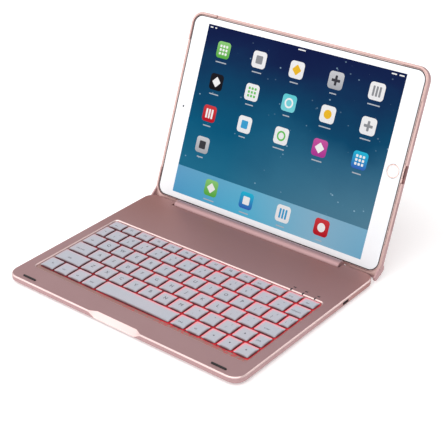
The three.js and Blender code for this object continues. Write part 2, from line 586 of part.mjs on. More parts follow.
// ---- Assembly ----
function buildBase(group) {
  addPiece(group, 'base_top_cover', baseTopCover(), roseGold);
  addPiece(group, 'base_bottom_cover', baseBottomCover(), roseGold);
  addPiece(group, 'key_frame', keyFrame(), roseGold);
  addPiece(group, 'switch_membrane', stackLayer(MEMBRANE), linerGrey);
  addPiece(group, 'key_plate', stackLayer(KEY_PLATE), steel);
  addPiece(group, 'backlight_guide', stackLayer(LIGHT_GUIDE), lightGuide);
  addPiece(group, 'main_board', mainBoard(), boardGreen);
  addPiece(group, 'left_battery', battery(-1), foilGrey);
  addPiece(group, 'right_battery', battery(1), foilGrey);
  addPiece(group, 'charging_port', chargingPort(), steel);
  addPiece(group, 'left_hinge_bracket', hingeBracket(-1), steel);
  addPiece(group, 'right_hinge_bracket', hingeBracket(1), steel);
  SCREW_PLACES.forEach(([x, y], index) => {
    addPiece(group, `cover_screw_${index + 1}`, coverScrew(x, y), steel);
  });
  LIGHT_PLACES_X.forEach((x, index) => {
    const pipe = post(x, LIGHT_Y, LIGHT_RADIUS, MEMBRANE.top + GAP, DECK_HEIGHT + 0.05, 12);
    addPiece(group, `indicator_light_${index + 1}`, pipe, indicatorWhite);
  });
  addPiece(group, 'left_bumper', bumper(-BUMPER_X), blackRubber);
  addPiece(group, 'right_bumper', bumper(BUMPER_X), blackRubber);
  FOOT_PLACES.forEach(([x, y], index) => addPiece(group, `foot_${index + 1}`, foot(x, y), blackRubber));
  addKeys(group);
}

function buildLid(group) {
  addPiece(group, 'tablet_tray', tabletTray(), roseGold);
  addPiece(group, 'hinge_barrel', hingeBarrel(), roseGold);
  addPiece(group, 'tray_liner', trayLiner(), linerGrey);
}

function buildTablet(group) {
  addPiece(group, 'tablet_housing', tabletHousing(), roseHousing);
  addPiece(group, 'tablet_front_glass', tabletGlass(), whiteGlass);
  addPiece(group, 'tablet_display', tabletDisplay(), screenGlass);
  addPiece(group, 'tablet_battery', tabletBattery(), foilGrey);
  addPiece(group, 'rear_camera', rearCamera(), blackPlastic);
  addPiece(group, 'home_button', homeButton(), whiteGlass);
}

const model = new THREE.Group();
const base = new THREE.Group();
const lid = new THREE.Group();
lid.position.set(0, SCREEN_FOOT_Y, DECK_HEIGHT + SCREEN_FOOT_ABOVE_DECK);
lid.rotation.x = LID_ANGLE;
buildBase(base);
buildLid(lid);
buildTablet(lid);
model.add(base, lid);

// The origin is the centre of the underside of the whole model's bounding box.
model.updateMatrixWorld(true);
const extent = new THREE.Box3().setFromObject(model, true);
const middle = extent.getCenter(new THREE.Vector3());
base.position.y -= middle.y;
lid.position.y -= middle.y;

export default model;
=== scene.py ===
import json
import math

import bmesh
import bpy
from mathutils import Matrix, Vector


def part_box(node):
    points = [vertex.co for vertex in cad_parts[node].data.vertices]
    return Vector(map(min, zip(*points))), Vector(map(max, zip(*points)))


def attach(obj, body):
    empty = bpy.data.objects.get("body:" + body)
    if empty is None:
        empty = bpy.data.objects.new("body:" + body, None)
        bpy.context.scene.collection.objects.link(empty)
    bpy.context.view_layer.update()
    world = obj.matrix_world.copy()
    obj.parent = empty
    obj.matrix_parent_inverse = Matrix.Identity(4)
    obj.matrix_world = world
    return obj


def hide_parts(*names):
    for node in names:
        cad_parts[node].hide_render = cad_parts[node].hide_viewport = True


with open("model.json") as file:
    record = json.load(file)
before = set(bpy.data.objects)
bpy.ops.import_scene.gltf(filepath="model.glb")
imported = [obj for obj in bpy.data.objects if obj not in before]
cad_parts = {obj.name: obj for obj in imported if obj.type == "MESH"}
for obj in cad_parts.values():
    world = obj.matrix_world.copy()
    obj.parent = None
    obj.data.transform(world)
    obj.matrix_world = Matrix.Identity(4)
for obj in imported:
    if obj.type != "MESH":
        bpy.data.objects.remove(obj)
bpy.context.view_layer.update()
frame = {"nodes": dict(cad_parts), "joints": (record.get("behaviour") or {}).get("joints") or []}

# Looks of the tablet keyboard case. Shapes are drawn in millimetres in one of two local frames
# and carried to the row frame in metres. The deck frame has its zero on the keyboard's flat top, at the
# centre of the base. The screen frame has its zero at the centre of the glass: x across, y up, z outwards.

MM = 0.001

# ---- Frames, worked out from the CAD ----
cover_low, cover_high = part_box("base_top_cover")
DECK = Matrix.Translation((0, (cover_low.y + cover_high.y) / 2, cover_high.z)) @ Matrix.Scale(MM, 4)
JOINTS = {joint["name"]: joint for joint in frame["joints"]}
outward = -Vector(JOINTS["home_button_press"]["axis"]).normalized()
upward = Vector((0, outward.z, -outward.y))
glass_low, glass_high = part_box("tablet_front_glass")
span = (glass_high - glass_low) / MM
spread = upward.y ** 2 - upward.z ** 2
GLASS_BREADTH = (span.y * upward.y - span.z * upward.z) / spread
GLASS_THICKNESS = (span.z * upward.y - span.y * upward.z) / spread
GLASS_LENGTH = span.x
glass_foot = Vector((0, glass_low.y, glass_low.z + GLASS_THICKNESS * upward.y * MM))
screen_centre = glass_foot + upward * (GLASS_BREADTH / 2) * MM
SCREEN = Matrix((
    (1, 0, 0, 0),
    (0, upward.y, outward.y, screen_centre.y),
    (0, upward.z, outward.z, screen_centre.z),
    (0, 0, 0, 1),
)) @ Matrix.Scale(MM, 4)

# ---- Driving dimensions, in millimetres ----
BASE_WIDTH = (cover_high.x - cover_low.x) / MM
BASE_DEPTH = (cover_high.y - cover_low.y) / MM
BASE_CORNER = 11
COVER_BOTTOM = (cover_low.z - cover_high.z) / MM
FLOOR = -cover_high.z / MM
WALL = 1.4
DECK_PLATE = 1.2
FRAME_TOP = -1.25
FRAME_HALF = (118.2, 52.2)
FRAME_CENTRE = (0, -19)
WELL_HALF_WIDTH = 116.6
WELL_FRONT = -69.5
WELL_REAR = 32
WELL_CORNER = 3
WELL_BEVEL = 0.9
BAY_HALF_WIDTH = 95
BAY_FRONT = 84.2
PORT_Y = 47.4
PORT_Z = -3
PORT_HALF = (4.3, 1.4)
PORT_CORNER = 1.3
BUMPER_X = 104.65
BUMPER_Y = -86
BUMPER_HALF = (7.45, 0.8)
NOTCH_HALF_WIDTH = 21.7
NOTCH_REACH = 30.4
NOTCH_DEPTH = 4.1
NOTCH_DROP = 4.8
SCREW_X = 121
SCREW_Y = 60
FOOT_PLACES = ((-108, -82), (108, -82), (-108, 84), (108, 84))
LIGHTS_X = (83.2, 95.1, 107.3)
LIGHTS_Y = 33.35
SIGNS_Y = 37.2

BLOCK_LEFT = -113.7
BLOCK_RIGHT = 115.5
KEY_SIZE = 15
KEY_GAP = 1.79
KEY_TOP = 0.8
KEY_CORNER = 1.3
KEY_SKIRT = -1.35
KEY_CLEARANCE = 0.32
LEGEND_TOP = KEY_TOP - 0.052
ARROW_SIZE = 1.1
RIM_GLOW = 2.3
RIM_SHADOW = 1.25
CORNER_GLOW = 4.2
GLOW_RISE = 130
FRONT_ROW_Y = -57.8
ROW_PITCH = 16.8
FUNCTION_ROW_Y = 24
FUNCTION_KEY_DEPTH = 10.6

TABLET_LENGTH = 250.6
TABLET_BREADTH = 174.1
TABLET_THICKNESS = 6.1
TABLET_CORNER = 9.5
SCREEN_LENGTH = 213.98
SCREEN_BREADTH = 160.48
TRAY_RIM = 2.2
TRAY_BACK = -7.5
TRAY_FLOOR = -6.7
TRAY_LIP = 0.5
RIM_LOW = -0.5
HOME_X = 116.1
# Width of the black strip round the glass that stands for the shaded gap at its edge.
GAP_SHADE_WIDTH = 0.65
CAMERA_X = -113.5
CAMERA_Y = 74.76
BARREL_RADIUS = 5.2
BARREL_HALF_LENGTH = 93.5
EAR_THICKNESS = 1.7
SPEAKER_MIDDLES = (-36.5, 36.1)
SPEAKER_HOLES = 14
SPEAKER_PITCH = 1.7
DOCK_HEIGHT = 26.1
SCREEN_LIGHT = 0.35
MARK_LIGHT = 0.3
MARK_DIM = 0.62
FLANGE_HALF_LENGTH = 88
OPENING_HALF_LENGTH = 98
OPENING_REACH = 27.5
TRAY_PORT_CUT = (-8.04, 7.26)
TABLET_PORT_HALF = 4.2
EAR_TIP = SCREEN.inverted() @ DECK @ Vector((0, 92.8, -3))

# Outlines of the base and the tablet: half the length, half the breadth and the corner radius.
BASE_OUTLINE = (BASE_WIDTH / 2, BASE_DEPTH / 2, BASE_CORNER)
TABLET_OUTLINE = (TABLET_LENGTH / 2, TABLET_BREADTH / 2, TABLET_CORNER)


# ---- Node helpers ----
def new_material(name):
    material = bpy.data.materials.new(name)
    material.use_nodes = True
    tree = material.node_tree
    shader = tree.nodes["Principled BSDF"]
    return material, tree, shader


def add_node(tree, kind, **values):
    node = tree.nodes.new(kind)
    for key, value in values.items():
        setattr(node, key, value)
    return node


def feed(tree, node, values):
    """Fills inputs of a node: the output of another node is linked, a number or colour is set."""
    for name, value in values.items():
        socket = node.inputs[name]
        if isinstance(value, bpy.types.NodeSocket):
            tree.links.new(value, socket)
        elif socket.type == "RGBA":
            socket.default_value = (*value, 1)
        else:
            socket.default_value = value


def noise(tree, scale, detail=3, roughness=0.55, vector=None):
    texture = add_node(tree, "ShaderNodeTexNoise")
    if vector is None:
        vector = add_node(tree, "ShaderNodeTexCoord").outputs["Object"]
    feed(tree, texture, {"Scale": scale, "Detail": detail, "Roughness": roughness, "Vector": vector})
    return texture.outputs["Fac"]


def object_axes(tree):
    """Where a point of the surface lies along x, y and z, in metres."""
    source = add_node(tree, "ShaderNodeTexCoord")
    split = add_node(tree, "ShaderNodeSeparateXYZ")
    feed(tree, split, {"Vector": source.outputs["Object"]})
    return split.outputs


def ramp(tree, value, stops):
    node = add_node(tree, "ShaderNodeValToRGB")
    elements = node.color_ramp.elements
    while len(elements) < len(stops):
        elements.new(0.5)
    for element, (position, color) in zip(elements, stops):
        element.position = position
        element.color = (*color, 1)
    tree.links.new(value, node.inputs["Fac"])
    return node.outputs["Color"]


def span_value(tree, value, low, high, to_low=0.0, to_high=1.0):
    node = add_node(tree, "ShaderNodeMapRange")
    feed(tree, node, {"From Min": low, "From Max": high, "To Min": to_low, "To Max": to_high, "Value": value})
    return node.outputs["Result"]


def math_node(tree, operation, first, second):
    node = add_node(tree, "ShaderNodeMath", operation=operation)
    for socket, value in zip(node.inputs, (first, second)):
        if isinstance(value, (int, float)):
            socket.default_value = value
        else:
            tree.links.new(value, socket)
    return node.outputs[0]


def times(tree, first, second):
    return math_node(tree, "MULTIPLY", first, second)


def band_mask(tree, value, low, high, soft):
    """1 between low and high, falling to 0 over the soft distance outside."""
    rising = span_value(tree, value, low - soft, low)
    falling = span_value(tree, value, high + soft, high)
    return times(tree, rising, falling)


def mix_color(tree, factor, first, second):
    node = add_node(tree, "ShaderNodeMix", data_type="RGBA")
    feed(tree, node, {"Factor": factor, "A": first, "B": second})
    return node.outputs["Result"]


def add_bump(tree, shader, height, strength, distance):
    bump = add_node(tree, "ShaderNodeBump")
    feed(tree, bump, {"Strength": strength, "Distance": distance, "Height": height})
    feed(tree, shader, {"Normal": bump.outputs["Normal"]})


# ---- Materials ----
def anodised(name, light, dark, roughness, grain=0.12, metallic=0.92, painted_hinge_shade=None):
    """Bead-blasted anodised aluminium: fine grain, a faint drift of colour and uneven gloss.

    Given a hinge shade colour, the metal is painted darker and browner towards the hinge: painted shade.
    """
    material, tree, shader = new_material(name)
    drift = noise(tree, 26, 2)
    color = ramp(tree, drift, ((0.35, dark), (0.65, light)))
    if painted_hinge_shade:
        # Painted shade: the colour turns to the shade colour close to the hinge.
        hinge_y = DECK.translation.y + BAY_FRONT * MM
        near = span_value(tree, object_axes(tree)["Y"], hinge_y - 0.09, hinge_y - 0.01)
        color = mix_color(tree, near, color, painted_hinge_shade)
    fine = noise(tree, 4200, 2)
    smudge = noise(tree, 70, 4)
    uneven = math_node(tree, "ADD", span_value(tree, fine, 0.3, 0.7, -0.03, 0.03),
                       span_value(tree, smudge, 0.3, 0.7, roughness - 0.01, roughness + 0.015))
    feed(tree, shader, {"Metallic": metallic, "Base Color": color, "Roughness": uneven})
    add_bump(tree, shader, fine, grain, 0.00006)
    return material


def moulded(name, light, dark, roughness, scale=900, grain=0.15, coat=0.0):
    """Moulded plastic or rubber with a fine texture and slightly uneven gloss."""
    material, tree, shader = new_material(name)
    fine = noise(tree, scale, 3)
    feed(tree, shader, {
        "Base Color": ramp(tree, fine, ((0.3, dark), (0.7, light))),
        "Roughness": span_value(tree, fine, 0.3, 0.7, roughness - 0.04, roughness + 0.06),
        "Coat Weight": coat, "Coat Roughness": 0.08})
    add_bump(tree, shader, fine, grain, 0.00005)
    return material


def sheet_metal(name):
    """Stamped steel with brush lines along x."""
    material, tree, shader = new_material(name)
    source = add_node(tree, "ShaderNodeTexCoord")
    stretch = add_node(tree, "ShaderNodeMapping")
    feed(tree, stretch, {"Scale": (40, 2600, 2600), "Vector": source.outputs["Object"]})
    lines = noise(tree, 1, 2, 0.5, stretch.outputs["Vector"])
    feed(tree, shader, {
        "Base Color": ramp(tree, lines, ((0.3, (0.42, 0.42, 0.44)), (0.7, (0.62, 0.62, 0.64)))),
        "Roughness": span_value(tree, lines, 0.3, 0.7, 0.25, 0.42), "Metallic": 1.0})
    add_bump(tree, shader, lines, 0.15, 0.00005)
    return material


def key_top_material():
    """Cap top: pale lavender grey paint, with painted glow, pinker where the backlight bleeds over the rear
    and left edges, and painted shade, dark along the front and right edges.
    """
    material, tree, shader = new_material("key_top")
    fine = noise(tree, 1500, 2)
    drift = noise(tree, 35, 2)
    pale = ramp(tree, fine, ((0.3, (0.44, 0.46, 0.52)), (0.7, (0.51, 0.525, 0.58))))
    pale = mix_color(tree, span_value(tree, drift, 0.35, 0.65, 0.0, 0.35), pale, (0.56, 0.50, 0.55))
    rim = add_node(tree, "ShaderNodeAttribute", attribute_name="rim")
    glow = span_value(tree, rim.outputs["Fac"], 0.0, 0.95, 0.0, 1.0)
    shadow = span_value(tree, rim.outputs["Fac"], -0.1, -0.8, 0.0, 0.85)
    blush = ramp(tree, glow, (
        (0.0, (0.78, 0.44, 0.49)), (0.5, (0.86, 0.32, 0.37)), (1.0, (0.85, 0.06, 0.09))))
    color = mix_color(tree, span_value(tree, glow, 0.0, 0.4), pale, blush)
    feed(tree, shader, {
        "Base Color": mix_color(tree, shadow, color, (0.16, 0.075, 0.08)), "Roughness": 0.42,
        "Emission Color": (1.0, 0.10, 0.13),
        "Emission Strength": span_value(tree, glow, 0.25, 1.0, 0.0, 0.32)})
    add_bump(tree, shader, fine, 0.1, 0.00004)
    return material


def key_side_material():
    """Cap wall: a dark shadowed band at the top that turns to lit red below."""
    material, tree, shader = new_material("key_side")
    lit = add_node(tree, "ShaderNodeAttribute", attribute_name="lit")
    fine = noise(tree, 260, 3)
    uneven = span_value(tree, fine, 0.3, 0.7, 0.6, 1.2)
    glow = times(tree, lit.outputs["Fac"], uneven)
    feed(tree, shader, {
        "Base Color": mix_color(tree, lit.outputs["Fac"], (0.10, 0.045, 0.05), (0.50, 0.05, 0.06)),
        "Roughness": 0.5, "Emission Color": (1.0, 0.02, 0.04),
        "Emission Strength": times(tree, glow, 0.55)})
    return material


def glow_floor_material():
    """Light film under the keys, brightest at the middle and right of the keyboard."""
    material, tree, shader = new_material("light_film")
    fine = noise(tree, 190, 3)
    across = span_value(tree, object_axes(tree)["X"], -0.12, 0.05, 0.25, 1.0)
    strength = times(tree, across, span_value(tree, fine, 0.3, 0.7, 0.15, 0.45))
    feed(tree, shader, {
        "Base Color": ramp(tree, fine, ((0.3, (0.8, 0.1, 0.14)), (0.7, (0.9, 0.2, 0.22)))),
        "Emission Color": (1.0, 0.04, 0.09), "Emission Strength": strength})
    return material


def well_floor_material():
    """Floor of the well: rose gold, with painted shade, dark under the keys, and painted red glow, patchy
    under the keys and in spots where light leaks out round them.
    """
    material, tree, shader = new_material("well_floor")
    axes = object_axes(tree)
    across = axes["X"]
    along = axes["Y"]
    middle = DECK.translation.y
    front_row = middle + (FRONT_ROW_Y - KEY_SIZE / 2) * MM
    rear_row = middle + (FUNCTION_ROW_Y + FUNCTION_KEY_DEPTH / 2) * MM
    under = times(tree, band_mask(tree, across, BLOCK_LEFT * MM, BLOCK_RIGHT * MM, 0.0004),
                      band_mask(tree, along, front_row, rear_row, 0.0004))
    rise = span_value(tree, across, BLOCK_LEFT * MM, (BLOCK_LEFT + GLOW_RISE) * MM, 0.2, 1.0)
    # Painted light: spots of red glow where the backlight leaks out past the keys.
    beads = noise(tree, 330, 1)
    spots = span_value(tree, beads, 0.46, 0.62)
    reach = noise(tree, 60, 2)
    leak = times(tree, spots, span_value(tree, reach, 0.38, 0.6, 0.35, 1.0))
    leak = times(tree, leak, span_value(tree, across, -0.075, 0.03, 0.0, 0.8))
    patchy = span_value(tree, noise(tree, 150, 2), 0.42, 0.62, 0.12, 0.75)
    inner = times(tree, times(tree, under, rise), patchy)
    glow = math_node(tree, "MAXIMUM", inner, leak)
    fine = noise(tree, 4200, 2)
    metal = ramp(tree, fine, ((0.3, (0.40, 0.24, 0.22)), (0.7, (0.46, 0.28, 0.26))))
    # Painted shade: dark under the keys, with the painted red glow laid over it.
    shaded = mix_color(tree, under, metal, (0.13, 0.045, 0.05))
    feed(tree, shader, {
        "Base Color": mix_color(tree, glow, shaded, (0.38, 0.05, 0.06)), "Metallic": 0.35,
        "Roughness": 0.42, "Emission Color": (1.0, 0.06, 0.06),
        "Emission Strength": times(tree, glow, 0.28)})
    add_bump(tree, shader, fine, 0.12, 0.00005)
    return material


def border_glass_material():
    """White printed border under polished cover glass."""
    material, tree, shader = new_material("white_border")
    fine = noise(tree, 12, 2)
    feed(tree, shader, {
        "Base Color": ramp(tree, fine, ((0.3, (0.86, 0.88, 0.91)), (0.7, (0.91, 0.92, 0.94)))),
        "Roughness": 0.3, "Coat Weight": 0.6, "Coat Roughness": 0.05})
    return material


def screen_coordinates(tree):
    """Across and up the screen, each from 0 to 1, from a stored map of the picture."""
    picture = add_node(tree, "ShaderNodeAttribute", attribute_name="picture")
    split = add_node(tree, "ShaderNodeSeparateXYZ")
    feed(tree, split, {"Vector": picture.outputs["Vector"]})
    return picture.outputs["Vector"], split.outputs["X"], split.outputs["Y"]


def make_lit(tree, shader, color, strength):
    """Shows a colour as part of the lit screen: it glows and mirrors nothing."""
    feed(tree, shader, {
        "Base Color": color, "Emission Color": color, "Emission Strength": strength, "Roughness": 0.25,
        "Specular IOR Level": 0.0})


def wallpaper_material():
    """A plain gradient, navy above and teal below, with a soft haze and small specks."""
    material, tree, shader = new_material("wallpaper")
    vector, across, up = screen_coordinates(tree)
    soft = noise(tree, 2.6, 4, 0.5, vector)
    wander = span_value(tree, soft, 0.3, 0.7, -0.08, 0.08)
    height = math_node(tree, "ADD", up, wander)
    sky = ramp(tree, height, (
        (0.18, (0.010, 0.095, 0.165)), (0.45, (0.003, 0.062, 0.125)), (0.70, (0.004, 0.032, 0.078)),
        (0.90, (0.005, 0.012, 0.048)), (1.0, (0.0045, 0.008, 0.040))))
    low = span_value(tree, height, 0.62, 0.16)
    right = span_value(tree, across, 0.25, 1.0)
    haze = times(tree, low, right)
    haze = times(tree, haze, span_value(tree, soft, 0.25, 0.75, 0.45, 0.8))
    sky = mix_color(tree, haze, sky, (0.085, 0.165, 0.215))
    specks = add_node(tree, "ShaderNodeTexVoronoi", feature="F1")
    feed(tree, specks, {"Scale": 26, "Vector": vector})
    speck = span_value(tree, specks.outputs["Distance"], 0.13, 0.05)
    pick = add_node(tree, "ShaderNodeSeparateColor")
    feed(tree, pick, {"Color": specks.outputs["Color"]})
    chosen = span_value(tree, pick.outputs[0], 0.35, 0.95, 0.0, 0.8)
    sky = mix_color(tree, times(tree, speck, chosen), sky, (0.26, 0.40, 0.50))
    make_lit(tree, shader, sky, SCREEN_LIGHT)
    return material


def dock_material():
    """Frosted strip along the foot of the screen."""
    material, tree, shader = new_material("dock_strip")
    _, across, up = screen_coordinates(tree)
    tint = ramp(tree, across, (
        (0.0, (0.055, 0.22, 0.38)), (0.4, (0.055, 0.29, 0.43)), (0.78, (0.16, 0.30, 0.40)),
        (1.0, (0.11, 0.27, 0.39))))
    lift = span_value(tree, up, 0.0, 0.17, 0.0, 0.3)
    tint = mix_color(tree, lift, tint, (0.15, 0.26, 0.34))
    make_lit(tree, shader, tint, SCREEN_LIGHT)
    return material


def lit_material(name, top, bottom=None):
    """A lit patch of the screen that shades from top to bottom of its tile."""
    material, tree, shader = new_material(name)
    share_up = add_node(tree, "ShaderNodeAttribute", attribute_name="tile")
    low, high = [tuple(MARK_DIM * share for share in color) for color in (bottom or top, top)]
    tint = ramp(tree, share_up.outputs["Fac"], ((0.0, low), (1.0, high)))
    make_lit(tree, shader, tint, MARK_LIGHT)
    return material


ROSE = anodised("rose_gold", (0.465, 0.285, 0.29), (0.452, 0.273, 0.278), 0.46, metallic=0.5)
# Deck metal, with painted shade darkening it towards the hinge.
DECK_ROSE = anodised("rose_gold_deck", (0.465, 0.285, 0.29), (0.452, 0.273, 0.278), 0.48, metallic=0.45,
                     painted_hinge_shade=(0.37, 0.18, 0.165))
ROSE_RIM = anodised("rose_gold_rim", (0.66, 0.45, 0.42), (0.60, 0.40, 0.37), 0.36, 0.05, 0.6)
# Lighter copy of the rose gold for polished chamfers and slopes that face the light: its lighter colour is a
# painted highlight.
ROSE_PAINTED_HIGHLIGHT = anodised("rose_gold_polished_painted_highlight", (0.82, 0.62, 0.60), (0.78, 0.58, 0.56), 0.34, 0.0, 0.7)
TABLET_METAL = anodised("tablet_rose_gold", (0.90, 0.66, 0.60), (0.85, 0.60, 0.54), 0.25, 0.06)
RUBBER = moulded("black_rubber", (0.016, 0.014, 0.015), (0.009, 0.008, 0.009), 0.6)
BLACK = moulded("black_plastic", (0.02, 0.018, 0.02), (0.012, 0.011, 0.012), 0.35)
LENS = moulded("camera_lens", (0.012, 0.014, 0.03), (0.006, 0.007, 0.012), 0.08, 40, 0.0, 1.0)
STEEL = sheet_metal("stamped_steel")
LEGEND = moulded("key_legend", (0.045, 0.045, 0.06), (0.03, 0.03, 0.045), 0.5)
KEY_TOP_PAINT = key_top_material()
KEY_SIDE_PAINT = key_side_material()
GLOW = glow_floor_material()
WELL_FLOOR = well_floor_material()
BORDER = border_glass_material()
WALLPAPER = wallpaper_material()
DOCK = dock_material()
BOARD = moulded("solder_mask", (0.03, 0.14, 0.07), (0.02, 0.10, 0.05), 0.45)
FOIL = anodised("pouch_foil", (0.50, 0.50, 0.52), (0.42, 0.42, 0.44), 0.45, 0.3)
LINER = moulded("microfibre", (0.16, 0.14, 0.16), (0.10, 0.09, 0.11), 0.85, 2200, 0.5)


# ---- Mesh helpers ----
def rounded_loop(half_x, half_y, radius, segments, centre=(0, 0), middles=0):
    """Points of a rounded rectangle, anticlockwise, with "middles" extra points along each side."""
    points = []
    radius = max(radius, 0.02)
    corners = ((1, 1, 0), (-1, 1, 90), (-1, -1, 180), (1, -1, 270))
    for side_x, side_y, start in corners:
        for step in range(segments + 1):
            angle = math.radians(start + 90 * step / segments)
            points.append((
                centre[0] + side_x * (half_x - radius) + radius * math.cos(angle),
                centre[1] + side_y * (half_y - radius) + radius * math.sin(angle)))
    if not middles:
        return points
    filled = []
    for index, point in enumerate(points):
        filled.append(point)
        after = points[(index + 1) % len(points)]
        if index % (segments + 1) == segments:
            for step in range(1, middles + 1):
                share = step / (middles + 1)
                filled.append((point[0] + (after[0] - point[0]) * share,
                               point[1] + (after[1] - point[1]) * share))
    return filled


def grown(outline, amount):
    return [size + amount for size in outline]


def lifted(base, steps):
    """Profile entries whose heights are counted from a base height."""
    return [(inset, base + rise) for inset, rise in steps]


def stitch(bm, low, high, material=0):
    """Joins two rings of points with a band of faces."""
    for index in range(len(low)):
        after = (index + 1) % len(low)
        face = bm.faces.new((low[index], low[after], high[after], high[index]))
        face.material_index = material


def add_prism(bm, low_points, high_points):
    """A closed solid between two outlines with the same number of points."""
    low = [bm.verts.new(point) for point in low_points]
    high = [bm.verts.new(point) for point in high_points]
    bm.faces.new(list(reversed(low)))
    bm.faces.new(high)
    stitch(bm, low, high)


def add_loft(bm, half_x, half_y, radius, profile, segments=8, centre=(0, 0), materials=None, middles=0):
    """A closed solid through rounded rectangles. A profile lists (inset, height) from bottom to top."""
    rings = []
    for inset, height in profile:
        loop = rounded_loop(half_x - inset, half_y - inset, radius - inset, segments, centre, middles)
        rings.append([bm.verts.new((x, y, height)) for x, y in loop])
    materials = materials or [0] * (len(profile) + 1)
    bottom = bm.faces.new(list(reversed(rings[0])))
    bottom.material_index = materials[0]
    for level in range(len(rings) - 1):
        stitch(bm, rings[level], rings[level + 1], materials[level + 1])
    top = bm.faces.new(rings[-1])
    top.material_index = materials[-1]


def add_box(bm, low, high):
    corners = [bm.verts.new((x, y, z)) for z in (low[2], high[2]) for y in (low[1], high[1])
               for x in (low[0], high[0])]
    for face in ((0, 2, 3, 1), (4, 5, 7, 6), (0, 1, 5, 4), (2, 6, 7, 3), (0, 4, 6, 2), (1, 3, 7, 5)):
        bm.faces.new([corners[index] for index in face])


def add_tube(bm, centre, axis, radius_profile, sides=32):
    """A solid of revolution. radius_profile is (radius, distance along axis) from start to end."""
    axis = Vector(axis).normalized()
    side = axis.orthogonal().normalized()
    third = axis.cross(side)
    rings = []
    for radius, along in radius_profile:
        ring = []
        for step in range(sides):
            angle = 2 * math.pi * step / sides
            offset = side * math.cos(angle) * radius + third * math.sin(angle) * radius
            ring.append(bm.verts.new(Vector(centre) + axis * along + offset))
        rings.append(ring)
    bm.faces.new(list(reversed(rings[0])))
    for low, high in zip(rings, rings[1:]):
        stitch(bm, low, high)
    bm.faces.new(rings[-1])


def add_hull(bm, points):
    verts = [bm.verts.new(point) for point in points]
    bmesh.ops.convex_hull(bm, input=verts)
    loose = [vert for vert in bm.verts if vert in verts and not vert.link_faces]
    bmesh.ops.delete(bm, geom=loose, context="VERTS")


def make_object(name, bm, materials):
    mesh = bpy.data.meshes.new(name)
    bm.to_mesh(mesh)
    bm.free()
    for material in materials:
        mesh.materials.append(material)
    piece = bpy.data.objects.new(name, mesh)
    bpy.context.scene.collection.objects.link(piece)
    return piece


def carve(piece, cutter, operation="DIFFERENCE"):
    """Cuts or joins another mesh into piece, and applies the result."""
    modifier = piece.modifiers.new("carve", "BOOLEAN")
    modifier.operation = operation
    modifier.solver = "EXACT"
    modifier.use_self = True
    modifier.object = cutter
    graph = bpy.context.evaluated_depsgraph_get()
    graph.update()
    result = bpy.data.meshes.new_from_object(piece.evaluated_get(graph))
    piece.modifiers.clear()
    piece.data = result
    bpy.data.objects.remove(cutter)


def cutter_from(build, materials=()):
    bm = bmesh.new()
    build(bm)
    return make_object("cutter", bm, materials)


def place(piece, matrix, body, nodes=(), sharp=30):
    """Moves a finished shape to the row frame, smooths it and hands it to a CAD body."""
    piece.data.transform(matrix)
    piece.data.polygons.foreach_set("use_smooth", [True] * len(piece.data.polygons))
    piece.data.set_sharp_from_angle(angle=math.radians(sharp))
    piece.data.update()
    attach(piece, body)
    if nodes:
        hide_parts(*nodes)


def simple_piece(name, build, materials, matrix, body, nodes=()):
    bm = bmesh.new()
    build(bm)
    place(make_object(name, bm, materials), matrix, body, nodes)


# ---- Camera, light and floor ----
def make_camera():
    azimuth = math.radians(40.62)
    elevation = math.radians(29.12)
    roll = math.radians(-1.99)
    distance = 1.0829
    target = DECK @ Vector((-31.84, 84.82, 0))
    back = Vector((math.sin(azimuth) * math.cos(elevation), -math.cos(azimuth) * math.cos(elevation),
                   math.sin(elevation)))
    level = Vector((math.cos(azimuth), math.sin(azimuth), 0))
    rise = back.cross(level)
    right = level * math.cos(roll) + rise * math.sin(roll)
    top = rise * math.cos(roll) - level * math.sin(roll)
    data = bpy.data.cameras.new("camera")
    data.sensor_width = 36
    data.lens = 95.7
    data.clip_start = 0.01
    camera = bpy.data.objects.new("camera", data)
    position = target + back * distance
    camera.matrix_world = Matrix((
        (right.x, top.x, back.x, position.x),
        (right.y, top.y, back.y, position.y),
        (right.z, top.z, back.z, position.z),
        (0, 0, 0, 1)))
    bpy.context.scene.collection.objects.link(camera)
    bpy.context.scene.camera = camera


def add_light(name, position, size, power):
    data = bpy.data.lights.new(name, "AREA")
    data.shape = "DISK"
    data.size = size
    data.energy = power
    light = bpy.data.objects.new(name, data)
    light.location = position
    aim = Vector((0, 0, 0.05)) - Vector(position)
    light.rotation_euler = aim.to_track_quat("-Z", "Y").to_euler()
    bpy.context.scene.collection.objects.link(light)


def make_stage():
    bm = bmesh.new()
    bmesh.ops.create_grid(bm, x_segments=2, y_segments=2, size=4)
    material, tree, shader = new_material("pale_floor")
    feed(tree, shader, {
        "Base Color": (0.93, 0.93, 0.93), "Roughness": 0.9, "Specular IOR Level": 0.1,
        "Emission Color": (1, 1, 1), "Emission Strength": 0.26})
    floor = make_object("floor", bm, [material])
    world = bpy.data.worlds.new("studio")
    world.use_nodes = True
    feed(world.node_tree, world.node_tree.nodes["Background"], {"Color": (1, 1, 1), "Strength": 0.42})
    bpy.context.scene.world = world
    add_light("left_softbox", (-1.05, -0.98, 1.15), 2.4, 17)
    add_light("right_softbox", (1.0, 1.35, 1.2), 1.5, 6)
    sun = bpy.data.lights.new("overhead", "SUN")
    sun.energy = 1.5
    sun.angle = math.radians(70)
    overhead = bpy.data.objects.new("overhead", sun)
    overhead.rotation_euler = Vector((0.25, -0.45, 0.86)).to_track_quat("Z", "Y").to_euler()
    bpy.context.scene.collection.objects.link(overhead)
    bpy.context.scene.view_settings.view_transform = "Standard"


# ---- Keyboard base ----
def notch_shape(bm):
    """Slanted cut at the middle of the front edge, for a finger to lift the lid."""
    front = -BASE_DEPTH / 2
    back = front + NOTCH_DEPTH
    points = []
    for side in (-1, 1):
        inner = side * NOTCH_HALF_WIDTH
        points += [
            (inner, back, 0), (inner, back, 1),
            (side * NOTCH_REACH, front, 0), (side * (NOTCH_REACH + 1), front - 1, 1),
            (inner, front, -NOTCH_DROP), (inner, front - 1, -NOTCH_DROP)]
    add_hull(bm, points)


